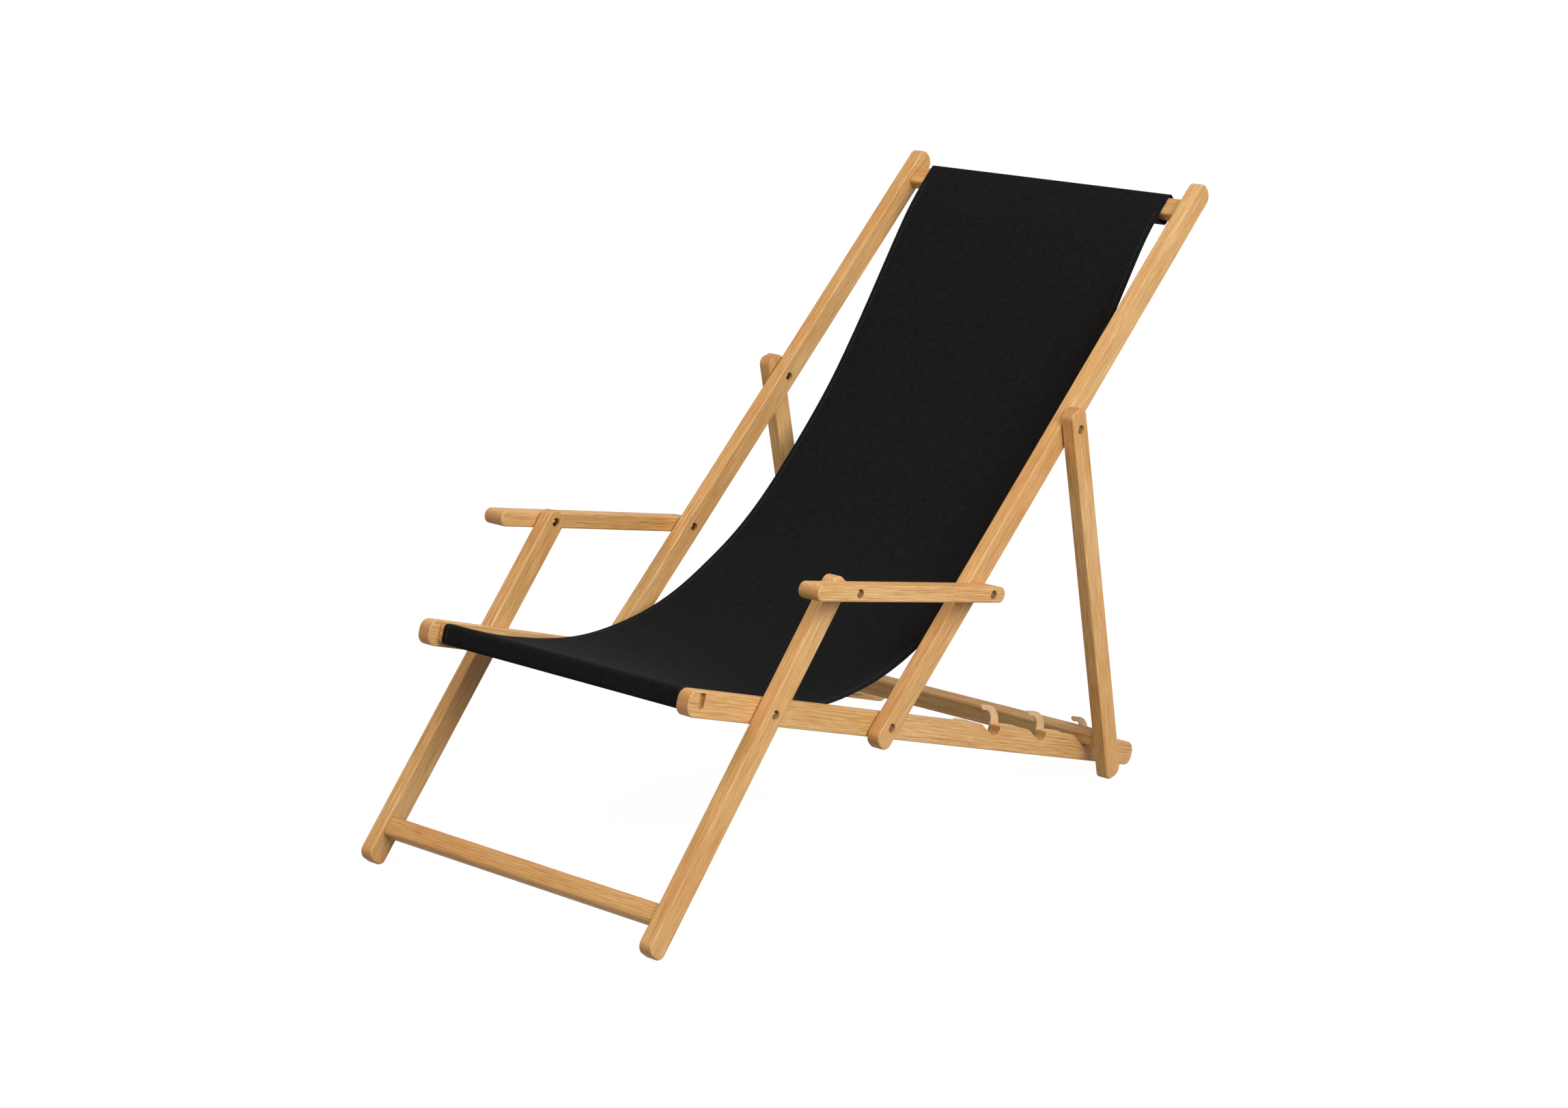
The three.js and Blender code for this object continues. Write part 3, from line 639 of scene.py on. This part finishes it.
# Bars across the chair
bars = {
    "front_bar": {"link": "rail", "body": "seat_frame", "along": -368.7, "rise": 1.8, "length": 17,
                  "depth": 25, "round": 5, "reach": 222.1, "ease": 1.2},
    "foot_bar": {"link": "leg", "body": "leg_frame", "along": -294.2, "rise": 2, "length": 28.5,
                 "depth": 22.4, "round": 7, "reach": 244.0, "ease": 1.2},
    "top_bar": {"link": "back", "body": "back_frame", "along": 913, "rise": -2.25, "length": 30.5,
                "depth": 19.5, "round": 4, "reach": 244.0, "ease": 1.2},
}
notchBar = {
    "front": -13, "rear": 7.5, "low": 496.906, "endHeight": 20.4, "middleHeight": 30, "middleWidth": 432,
    "round": 3, "reach": 265.9, "ease": 1.2,
}


def addBar(name):
    bar = bars[name]
    halfLength, halfDepth = bar["length"] / 2, bar["depth"] / 2
    section = roundedProfile(bar["along"] - halfLength, bar["along"] + halfLength,
                             bar["rise"] - halfDepth, bar["rise"] + halfDepth, bar["round"])
    mesh = boardMesh(bar["link"], section, 0, 2 * bar["reach"], bar["ease"])
    piece = newPiece(f"{name}_rod", mesh, crossTimbers[bar["link"]])
    if name == "front_bar":  # its tenons pass through both rails and stop just short of their outer faces
        end = layers["rail"]["centre"] + layers["rail"]["thickness"] / 2 - frontTenon["recess"]
        cut(piece, boardMesh("rail", tenonProfile(), 0, 2 * end, frontTenon["ease"]), "UNION")
    fitPiece(piece, barRims, bar["body"], name)


def addNotchBar():
    bar = notchBar
    high = bar["low"] - bar["endHeight"]
    ends = roundedProfile(high, bar["low"], bar["front"], bar["rear"], bar["round"])
    middle = roundedProfile(high, high + bar["middleHeight"], bar["front"], bar["rear"], bar["round"])
    mesh = boardMesh("prop", middle, 0, bar["middleWidth"], bar["ease"])
    piece = newPiece("notch_bar_rod", mesh, crossTimbers["prop"])
    cut(piece, boardMesh("prop", ends, 0, 2 * bar["reach"], bar["ease"]), "UNION")
    fitPiece(piece, barRims, "prop_frame", "notch_bar")


for name in bars:
    addBar(name)
addNotchBar()
print("bars fitted")

# Hooked catch plates on the rails' inner faces
plates = {
    "drop": -10, "start": 196, "endReach": 56, "endRound": 4, "lip": 1.7, "lipEnd": 59.9, "belowNotch": 0.8,
    "outerRadius": 29, "innerRadius": 17.5, "wallReach": 3.5, "outerSetback": 6.4, "outerRise": 13.7,
    "innerRise": 18.2, "noseReach": 24.2, "noseRise": 40.1, "noseRadius": 2.5, "noseArc": (85, 250, 18),
    "mouthAngle": 107, "ease": 0.6, "rims": 0.2, "screws": (201, 317, 433, 549), "screwRise": 3,
}


def plateProfile():
    p = plates
    top = boards["seat_rail"]["depth"] / 2
    lip = top + p["lip"]
    end = notches["walls"][-1] + p["endReach"]
    small = p["endRound"]
    floor = top - notches["depth"] - p["belowNotch"]
    foot = math.degrees(math.asin((lip - p["outerRise"]) / p["outerRadius"]))
    path = arc(end - small, p["drop"] + small, small, -90, 0) + arc(end - small, lip - small, small, 0, 90)
    for wall in reversed(notches["walls"]):
        path += arc(wall - p["outerSetback"], p["outerRise"], p["outerRadius"], foot, 90)
        path += arc(wall - p["noseReach"], p["noseRise"], p["noseRadius"], *p["noseArc"])
        path += arc(wall + p["wallReach"] - p["innerRadius"], p["innerRise"], p["innerRadius"],
                    p["mouthAngle"], 0)
        path += notchPath(wall, floor, top, p["wallReach"]) + [(wall - p["lipEnd"], lip)]
    return (path + arc(p["start"] + small, lip - small, small, 90, 180)
            + arc(p["start"] + small, p["drop"] + small, small, 180, 270))


for suffix, side in sides.items():
    layer = layers["plate"]
    mesh = boardMesh("rail", plateProfile(), side * layer["centre"], layer["thickness"], plates["ease"])
    piece = newPiece(f"hook_plate_{suffix}", mesh, plyMaterial)
    fitPiece(piece, plates["rims"], "seat_frame", f"catch_plate_{suffix}")
print("hook plates fixed")


# Geometry Nodes: what every tree starts and ends with, and how a piece is made with one
def newTree(name, inputs):
    tree = bpy.data.node_groups.new(name, "GeometryNodeTree")
    tree.interface.new_socket("Geometry", in_out="INPUT", socket_type="NodeSocketGeometry")
    tree.interface.new_socket("Geometry", in_out="OUTPUT", socket_type="NodeSocketGeometry")
    for label, kind in inputs:
        tree.interface.new_socket(label, in_out="INPUT", socket_type=kind)
    add = partial(addNode, tree)
    return tree, add, add("NodeGroupInput")


def finishTree(tree, geometry, material):
    solid = addNode(tree, "GeometryNodeRealizeInstances", {0: geometry})
    painted = addNode(tree, "GeometryNodeSetMaterial", {"Geometry": solid, "Material": material})
    addNode(tree, "NodeGroupOutput", {0: painted})
    return tree


def grown(name, mesh, tree, material, values):
    piece = newPiece(name, mesh, material)
    modifier = piece.modifiers.new(tree.name, "NODES")
    modifier.node_group = tree
    for socket in tree.interface.items_tree:
        if socket.in_out == "INPUT" and socket.name in values:
            modifier[socket.identifier] = values[socket.name]
    return baked(piece)


def placedTree():
    # The same turned shape at every point; it is turned round on the chair's right side
    tree, add, given = newTree("turnedAtEachPoint", [
        ("Shape", "NodeSocketObject"), ("Material", "NodeSocketMaterial")])
    place = add("GeometryNodeInputPosition")
    split = add("ShaderNodeSeparateXYZ", {0: place})
    side = add("ShaderNodeMath", {"operation": "SIGN", 0: split.outputs["X"]})
    turn = add("ShaderNodeMath", {"operation": "MULTIPLY_ADD", 0: side, 1: -math.pi / 2, 2: math.pi / 2})
    euler = add("ShaderNodeCombineXYZ", {"Z": turn})
    shape = add("GeometryNodeObjectInfo", {"Object": given.outputs["Shape"]})
    copies = add("GeometryNodeInstanceOnPoints", {
        "Points": given.outputs["Geometry"], "Instance": shape.outputs["Geometry"], "Rotation": euler})
    return finishTree(tree, copies, given.outputs["Material"])


# Pivot bolts with domed caps, turned with their heads towards +X; half bolts where the pivot is open
fasteners = {
    "headRadius": 5.2, "headHeight": 3.5, "nutHeight": 3.2, "shank": 2.5, "rim": 0.6, "seat": 4.2,
    "facets": 28, "domeSteps": 8, "screwRadius": 3.5, "screwRim": 0.2, "screwHeight": 1.8,
    "screwShank": 1.7, "screwLength": 15, "screwPoint": 3,
    "recess": 2.0, "recessWidth": 0.7, "recessDepth": 0.9, "screwCrease": 35,
}
pivots = {
    "leg_pivot_bolts": {"body": "leg_frame", "place": legBolt, "outer": 264.6, "inner": 222.2,
                        "nodes": ("leg_bolt", "leg_nut")},
    "back_pivot_bolts": {"body": "back_frame", "place": backBolt, "outer": 264.6, "inner": 222.2,
                         "nodes": ("back_bolt", "back_nut")},
    "prop_pivot_bolts": {"body": "prop_frame", "place": propBolt, "outer": 286.5, "inner": 244.1,
                         "nodes": ("prop_bolt", "prop_nut")},
    "armrest_rear_bolts": {"body": "armrest", "place": armrestRearBolt, "outer": 300, "inner": 244.1,
                           "nodes": ("armrest_rear_bolt", "armrest_rear_nut")},
    "armrest_front_bolts": {"body": "armrest", "place": armrestFrontBolt, "outer": 300, "inner": 264.8,
                            "nodes": ("armrest_front_bolt",), "half": "bolt"},
    "armrest_front_nuts": {"body": "leg_frame", "place": armrestFrontBolt, "outer": 264.5, "inner": 244.1,
                           "nodes": ("armrest_front_nut",), "half": "nut"},
}


def turnedMesh(profile):
    # The profile's points are (reach along X, radius) and start and end on the axis
    bm = bmesh.new()
    facets = fasteners["facets"]
    rings = []
    for reach, radius in profile:
        count = facets if radius > 0 else 1
        angles = [2 * math.pi * i / count for i in range(count)]
        rings.append([bm.verts.new((reach * mm, radius * mm * math.cos(a), radius * mm * math.sin(a)))
                      for a in angles])
    for a, b in zip(rings, rings[1:]):
        for i in range(facets):
            corners = [a[i % len(a)], a[(i + 1) % len(a)], b[(i + 1) % len(b)], b[i % len(b)]]
            corners = [corner for n, corner in enumerate(corners) if corner not in corners[:n]]
            if len(corners) > 2:
                bm.faces.new(corners)
    bmesh.ops.recalc_face_normals(bm, faces=bm.faces)
    for face in bm.faces:
        face.smooth = True
    for edge in bm.edges:
        edge.smooth = edge.calc_face_angle(0) < math.radians(shaping["bevelFrom"])
    return meshFrom("turned", bm)


def dome(start, height, way):
    # From the rim of a domed cap to its top
    rim, radius, steps = fasteners["rim"], fasteners["headRadius"], fasteners["domeSteps"]
    points = [(start, radius)]
    for step in range(steps):
        turn = math.radians(90 * step / steps)
        points.append((start + way * (rim + (height - rim) * math.sin(turn)), radius * math.cos(turn)))
    return points + [(start + way * height, 0)]


def boltMesh(pivot):
    f = fasteners
    shankEnd = pivot["inner"] - pivot["outer"] + 2 * f["seat"]
    half = pivot.get("half")
    if half == "bolt":
        shankEnd -= f["seat"]
        nut = [(shankEnd, 0)]
    else:
        nut = dome(shankEnd, f["nutHeight"], -1)[::-1]
    if half == "nut":
        head = [(f["seat"], f["shank"]), (f["seat"], 0)]
    else:
        head = [(0, f["shank"])] + dome(0, f["headHeight"], 1)
    return turnedMesh(nut + [(shankEnd, f["shank"])] + head)


def screwMesh():
    # A countersunk screw, its head towards -X, with a cross recess
    f = fasteners
    profile = [(0, 0), (0, f["screwRadius"] - f["screwRim"]), (f["screwRim"], f["screwRadius"]),
               (f["screwHeight"], f["screwShank"]), (f["screwLength"] - f["screwPoint"], f["screwShank"]),
               (f["screwLength"], 0)]
    screw = newPiece("screwShape", turnedMesh(profile), brassMaterial)
    for turn in (0, math.pi / 2):
        bm = bmesh.new()
        size = Matrix.Diagonal((2 * f["recessDepth"] * mm, 2 * f["recess"] * mm, f["recessWidth"] * mm, 1))
        bmesh.ops.create_cube(bm, size=1, matrix=Matrix.Rotation(turn, 4, "X") @ size)
        cut(screw, meshFrom("recess", bm))
    screw.data.shade_smooth()
    screw.data.set_sharp_from_angle(angle=math.radians(f["screwCrease"]))
    return screw


placed = placedTree()
for name, pivot in pivots.items():
    shape = newPiece("boltShape", boltMesh(pivot), steelMaterial)
    inputs = {"Shape": shape, "Material": steelMaterial}
    x = pivot["outer"] - fasteners["seat"]
    armrest = pivot["body"] == "armrest"
    for group in (("left",), ("right",)) if armrest else (("left", "right"),):
        suffix = f"_{group[0]}" if armrest else ""
        points = wireMesh("points", [(sides[side] * x, *pivot["place"]) for side in group])
        piece = grown(name + suffix, points, placed, steelMaterial, inputs)
        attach(piece, pivot["body"] + suffix)
        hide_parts(*[f"{node}_{side}" for node in pivot["nodes"] for side in group])
    bpy.data.objects.remove(shape)

screwShape = screwMesh()
screwX = layers["plate"]["centre"] - layers["plate"]["thickness"] / 2
points = wireMesh("points", [(side * screwX, *sidePoint("rail", along, plates["screwRise"]))
                             for side in sides.values() for along in plates["screws"]])
piece = grown("plate_cross_screws", points, placed, brassMaterial,
              {"Shape": screwShape, "Material": brassMaterial})
bpy.data.objects.remove(screwShape)
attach(piece, "seat_frame")
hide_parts(*[name for name in frame["nodes"] if name.startswith("plate_screw")])

# The washers are right as they stand in the frame, and get a turned finish
for name, node in frame["nodes"].items():
    if "washer" in name:
        node.data.materials[0] = brassMaterial
print("bolts and screws driven")

# The sling's line in side view: tail, top sleeve, hanging run, front sleeve, tail
sling = {
    "width": 434, "hem": 10, "cloth": 0.65, "layerGap": 0.78, "clearance": 0.2,
    "seamGap": 12, "tail": 13, "tailBreak": (0.3, 0.7),
    "step": 6, "sleeveStep": 12, "curveSteps": 24, "easeRounds": 12,
    # The left edge's slack, and how far the right edge draws in at the front
    "slack": 11.5, "slackAt": 0.65, "slackReach": 0.17, "slackEdge": 2.5, "slackFade": 12,
    "drawIn": 3.5, "drawFrom": 0.75, "drawTo": 0.9,
    # How far the sleeve's corners stand off the top bar, as (along, rise)
    "loose": {"highFar": (4.2, 0.4), "lowFar": (3.6, -3.4), "lowNear": (-3.6, -3.2)},
    # The chord's height over the bars, and how near to its ends the run's own curve comes
    "chordLift": 1.1, "fromTop": 52, "fromFront": 42,
    # Places along the chord from the top bar to the front bar, and the hang below it
    "hang": [(0.058, 0.021), (0.219, 0.106), (0.315, 0.15), (0.439, 0.191), (0.519, 0.208), (0.59, 0.212),
             (0.671, 0.208), (0.751, 0.188), (0.84, 0.146), (0.93, 0.074)],
    # Across: cells to the middle, then the places before the edge, the fold and the turned-in hem
    "cells": 30, "nearEdge": 6, "edgePlaces": (5, 3, 1.5), "foldStep": 36, "hemPlaces": (0.3, 0.65, 1),
}
# From the bar's face to the middle of the outer layer, over the turned-in hem
slingLift = sling["clearance"] + sling["cloth"] / 2 + sling["layerGap"]


def through(points):
    # A smooth curve through all the points
    dense = []
    padded = [points[0]] + points + [points[-1]]
    for a, b, c, d in zip(padded, padded[1:], padded[2:], padded[3:]):
        for i in range(sling["curveSteps"]):
            t = i / sling["curveSteps"]
            dense.append((b * 2 + (c - a) * t + (a * 2 - b * 5 + c * 4 - d) * t * t
                          + (b * 3 - a - c * 3 + d) * t * t * t) / 2)
    return dense + [points[-1]]


def spaced(points, step):
    total = sum((b - a).length for a, b in zip(points, points[1:]))
    count = max(1, round(total / step))
    kept, walked, goal = [points[0]], 0.0, total / count
    for a, b in zip(points, points[1:]):
        length = (b - a).length
        while goal <= walked + length + 1e-9 and len(kept) < count:
            kept.append(a.lerp(b, (goal - walked) / length))
            goal = total / count * len(kept)
        walked += length
    return kept + [points[-1]]


def tangentFrom(point, centre, radius):
    # The angle at which a line from the point meets an arc that is walked counterclockwise
    away = centre - point
    return math.degrees(math.atan2(away.y, away.x) - math.acos(-radius / away.length))


def tangentTo(point, centre, radius):
    away = point - centre
    return math.degrees(math.atan2(away.y, away.x) - math.acos(radius / away.length))


def sleevePath(bar, run, outFirst):
    # Walks counterclockwise round a bar. outFirst: the walk leaves the bar along the run (top bar);
    # otherwise it comes in along the run (front bar). Points are in the link's own side view
    radius = bar["round"] + slingLift
    halfLength = bar["length"] / 2 - bar["round"]
    halfDepth = bar["depth"] / 2 - bar["round"]
    middle = Vector((bar["along"], bar["rise"]))
    corners = {name: middle + Vector((x * halfLength, y * halfDepth)) for name, x, y in (
        ("highFar", 1, 1), ("highNear", -1, 1), ("lowNear", -1, -1), ("lowFar", 1, -1))}
    if outFirst:
        for name, shift in sling["loose"].items():
            corners[name] += Vector(shift)

    def cornerArc(name, start, end):
        points = arc(corners[name].x, corners[name].y, radius, start, end, sling["sleeveStep"])
        return [Vector(point) for point in points]

    def tailPlaces(place, toward, below):
        # The tail lies a layer below the run, from the seam to its end
        way = (toward - place).normalized()
        under = Vector((-way.y, way.x)) * (below * sling["layerGap"])
        seam = place + way * (sling["seamGap"] + bar["round"]) + under
        return seam, seam + way * sling["tail"]

    if outFirst:
        leave = tangentTo(run[0], corners["highNear"], radius)
        seam, end = tailPlaces(cornerArc("highNear", 90, leave)[-1], run[0], 1)
        start = tangentFrom(seam, corners["lowNear"], radius)
        body = (cornerArc("lowNear", start, -90) + cornerArc("lowFar", -90, 0) + cornerArc("highFar", 0, 90)
                + cornerArc("highNear", 90, leave))
        return [end, seam.lerp(end, sling["tailBreak"][0]), seam] + body, seam
    start = tangentFrom(run[-1], corners["highFar"], radius)
    enter = cornerArc("highFar", start, 90)
    seam, end = tailPlaces(enter[0], run[-1], -1)
    leave = tangentTo(seam, corners["lowFar"], radius)
    while leave < 270:
        leave += 360
    body = (enter + cornerArc("highNear", 90, 180) + cornerArc("lowNear", 180, 270)
            + cornerArc("lowFar", 270, leave))
    return body + [seam, seam.lerp(end, sling["tailBreak"][1]), end], seam


def toLink(link, point):
    cos, sin = math.cos(links[link]["turn"]), math.sin(links[link]["turn"])
    away = point - links[link]["pivot"]
    return Vector((away.x * cos + away.y * sin, away.y * cos - away.x * sin))


def slingLine():
    chordEnds = [sidePoint(bar["link"], bar["along"], bar["rise"] + bar["depth"] / 2 + sling["chordLift"])
                 for bar in (bars["top_bar"], bars["front_bar"])]
    start, end = chordEnds
    chord = end - start
    hang = Vector((-chord.y, chord.x))
    free = [start + chord * share + hang * drop for share, drop in sling["hang"]]
    run = [point for point in through([start] + free + [end])
           if (point - start).length > sling["fromTop"] and (point - end).length > sling["fromFront"]]
    sleeves, seams = [], []
    for name, outFirst in (("top_bar", True), ("front_bar", False)):
        link = bars[name]["link"]
        path, seam = sleevePath(bars[name], [toLink(link, point) for point in run], outFirst)
        sleeves.append([sidePoint(link, *point) for point in path])
        seams.append(sidePoint(link, *seam))
    top, front = sleeves
    middle = spaced([top[-1]] + run + [front[0]], sling["step"])
    return top + middle[1:-1] + front, len(top), len(front), seams


def turningEased(points, keepStart, keepEnd):
    # Rounds off the joins between the sleeves and the run, and leaves the sleeves alone
    for _ in range(sling["easeRounds"]):
        moved = list(points)
        for i in range(keepStart, len(points) - keepEnd):
            moved[i] = points[i] * 0.5 + (points[i - 1] + points[i + 1]) * 0.25
        points = moved
    return points


def crossSection():
    # The cloth from edge to edge, with both edges turned in under themselves
    half, gap = sling["width"] / 2, sling["layerGap"]
    flat = [half * i / sling["cells"] for i in range(sling["cells"])]
    flat = [x for x in flat if x < half - sling["nearEdge"]] + [half - x for x in sling["edgePlaces"]]
    turns = [math.radians(a) for a in range(0, 181, sling["foldStep"])]
    fold = [(half - gap / 2 + gap / 2 * math.sin(a), -gap / 2 + gap / 2 * math.cos(a)) for a in turns]
    under = [(half - share * sling["hem"], -gap) for share in sling["hemPlaces"]]
    right = [(x, 0) for x in flat] + fold + under
    return [(-x, n) for x, n in right[:0:-1]] + right


def within(value):
    return max(0.0, min(1.0, value))


def clothPlace(x, row, shift):
    # Where a point of the cloth lies: the sitter's left edge hangs lower, and the right one draws in
    # at the front
    point = slingPath[row] + shift
    share = row / (len(slingPath) - 1)
    half = sling["width"] / 2
    low = math.exp(-((share - sling["slackAt"]) / sling["slackReach"]) ** 2)
    low *= max(0.0, x / half) ** sling["slackEdge"]
    low *= within((len(slingPath) - endCount - row) / sling["slackFade"])
    pull = within((share - sling["drawFrom"]) / (sling["drawTo"] - sling["drawFrom"]))
    narrow = sling["drawIn"] * pull * pull * (3 - 2 * pull) * max(0.0, -x / half)
    return x + narrow, point.x, point.y - sling["slack"] * low


def clothTree():
    tree, add, given = newTree("sweptCloth", [
        ("Cross section", "NodeSocketObject"), ("Material", "NodeSocketMaterial")])
    line = add("GeometryNodeMeshToCurve", {0: given.outputs["Geometry"]})
    level = add("GeometryNodeSetCurveNormal", {"mode": "FREE", 0: line, "Normal": (1, 0, 0)})
    cross = add("GeometryNodeObjectInfo", {"Object": given.outputs["Cross section"]})
    profile = add("GeometryNodeMeshToCurve", {0: cross.outputs["Geometry"]})
    cloth = add("GeometryNodeCurveToMesh", {"Curve": level, "Profile Curve": profile})
    return finishTree(tree, cloth, given.outputs["Material"])


def addSling():
    section = crossSection()
    path = wireMesh("slingPath", [(0, *point) for point in slingPath], chain(len(slingPath)))
    cross = wireMesh("slingCross", [(x, n, 0) for x, n in section], chain(len(section)))
    crossPiece = newPiece("slingCross", cross, clothMaterial)
    piece = grown("sling_cloth", path, clothTree(), clothMaterial,
                  {"Cross section": crossPiece, "Material": clothMaterial})
    bpy.data.objects.remove(crossPiece)
    mesh = piece.data
    for vert in mesh.vertices:
        row = vert.index // len(section)
        shift = vert.co.yz / mm - slingPath[row]
        vert.co = [value * mm for value in clothPlace(vert.co.x / mm, row, shift)]
    # The cloth's own measure: across and along, in metres
    across, along = [0.0], [0.0]
    for (x0, n0), (x1, n1) in zip(section, section[1:]):
        across.append(across[-1] + math.hypot(x1 - x0, n1 - n0) * mm)
    for a, b in zip(slingPath, slingPath[1:]):
        along.append(along[-1] + (b - a).length * mm)
    uv = mesh.uv_layers.new(name="UVMap")
    for loop in mesh.loops:
        row, column = divmod(loop.vertex_index, len(section))
        uv.data[loop.index].uv = (across[column], along[row])
    mesh.materials.clear()
    mesh.materials.append(clothMaterial)
    solid = piece.modifiers.new("cloth", "SOLIDIFY")
    solid.thickness = sling["cloth"] * mm
    solid.offset = 0
    baked(piece)
    piece.data.shade_smooth()
    return piece, across[-1], along[-1]


slingPath, startCount, endCount, seamPlaces = slingLine()
slingPath = turningEased(slingPath, startCount, endCount)
slingPiece, flatWidth, flatLength = addSling()

# Lockstitch rows: along both hems, on both faces, and across the cloth at both seams
stitches = {
    "pitch": 3.6, "length": 2.9, "radius": 0.27, "facets": 6, "dip": 0.22, "rise": 0.1,
    "hemInset": 7.5, "endRows": 6, "seamSteps": 60,
}


def stitchMesh():
    # One stitch along X: the thread comes out of the cloth, lies on it and dips back in.
    # Each ring is (place along the stitch, thickness, height)
    s, count = stitches, stitches["facets"]
    rings = [(-1, 0.4, -s["dip"]), (-0.7, 0.9, s["rise"] * 0.6), (0, 1, s["rise"]),
             (0.7, 0.9, s["rise"] * 0.6), (1, 0.4, -s["dip"])]
    bm = bmesh.new()
    made = []
    for share, thick, height in rings:
        reach, radius = share * s["length"] / 2 * mm, thick * s["radius"]
        made.append([bm.verts.new((reach, radius * mm * math.cos(a), (height + radius * math.sin(a)) * mm))
                     for a in (2 * math.pi * i / count for i in range(count))])
    for a, b in zip(made, made[1:]):
        for i in range(count):
            bm.faces.new((a[i - 1], a[i], b[i], b[i - 1]))
    bm.faces.new(made[0])
    bm.faces.new(made[-1][::-1])
    bmesh.ops.recalc_face_normals(bm, faces=bm.faces)
    for face in bm.faces:
        face.smooth = True
    return meshFrom("stitch", bm)


def stitchTree():
    tree, add, given = newTree("stitchRows", [
        ("Stitch", "NodeSocketObject"), ("Pitch", "NodeSocketFloat"), ("Material", "NodeSocketMaterial")])
    line = add("GeometryNodeMeshToCurve", {0: given.outputs["Geometry"]})
    points = add("GeometryNodeCurveToPoints", {
        "mode": "LENGTH", "Curve": line, "Length": given.outputs["Pitch"]})
    out = add("GeometryNodeInputNamedAttribute", {"data_type": "FLOAT_VECTOR", "Name": "out"})
    ahead = add("FunctionNodeAlignRotationToVector", {"axis": "X", "Vector": points.outputs["Tangent"]})
    upright = add("FunctionNodeAlignRotationToVector", {
        "axis": "Z", "pivot_axis": "X", "Rotation": ahead, "Vector": out})
    stitch = add("GeometryNodeObjectInfo", {"Object": given.outputs["Stitch"]})
    copies = add("GeometryNodeInstanceOnPoints", {
        "Points": points, "Instance": stitch.outputs["Geometry"], "Rotation": upright})
    return finishTree(tree, copies, given.outputs["Material"])


def stitchRows():
    # Each row is a list of (place, way out of the cloth), in millimetres. The normals point to the
    # back, where the hems are turned in
    s, line, count = stitches, slingPath, len(slingPath)
    front = -sling["cloth"] / 2
    back = sling["cloth"] / 2 + sling["layerGap"]
    normals = []
    for i in range(count):
        way = (line[min(i + 1, count - 1)] - line[max(i - 1, 0)]).normalized()
        normals.append(Vector((-way.y, way.x)))
    rows = []
    hemX = sling["width"] / 2 - s["hemInset"]
    for x in (hemX, -hemX):
        for side, lift in ((1, back), (-1, front)):
            rows.append([(clothPlace(x, i, normals[i] * lift), (0, *(normals[i] * side)))
                         for i in range(startCount, count - s["endRows"])])
    # Across: where the sleeve's tail lies under the run; the stitches show only on the back
    for seam in seamPlaces:
        i = min(range(startCount, count - endCount), key=lambda k: (line[k] - seam).length)
        places = [-hemX + 2 * hemX * k / s["seamSteps"] for k in range(s["seamSteps"] + 1)]
        rows.append([(clothPlace(x, i, normals[i] * back), (0, *normals[i])) for x in places])
    return rows


def rowsMesh(rows):
    points, edges, ways = [], [], []
    for row in rows:
        edges += chain(len(row), len(points))
        points += [place for place, _ in row]
        ways += [value for _, way in row for value in way]
    mesh = wireMesh("stitchRows", points, edges)
    mesh.attributes.new("out", "FLOAT_VECTOR", "POINT").data.foreach_set("vector", ways)
    return mesh


stitchShape = newPiece("stitchShape", stitchMesh(), stitchMaterial)
stitchPiece = grown("sling_stitches", rowsMesh(stitchRows()), stitchTree(), stitchMaterial,
                    {"Stitch": stitchShape, "Pitch": stitches["pitch"] * mm, "Material": stitchMaterial})
bpy.data.objects.remove(stitchShape)
print("stitches sewn", len(stitchPiece.data.polygons))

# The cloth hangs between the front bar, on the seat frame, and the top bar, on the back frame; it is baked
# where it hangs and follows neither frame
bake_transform(slingPiece)
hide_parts("sling")
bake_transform(stitchPiece)
print("sling hung")
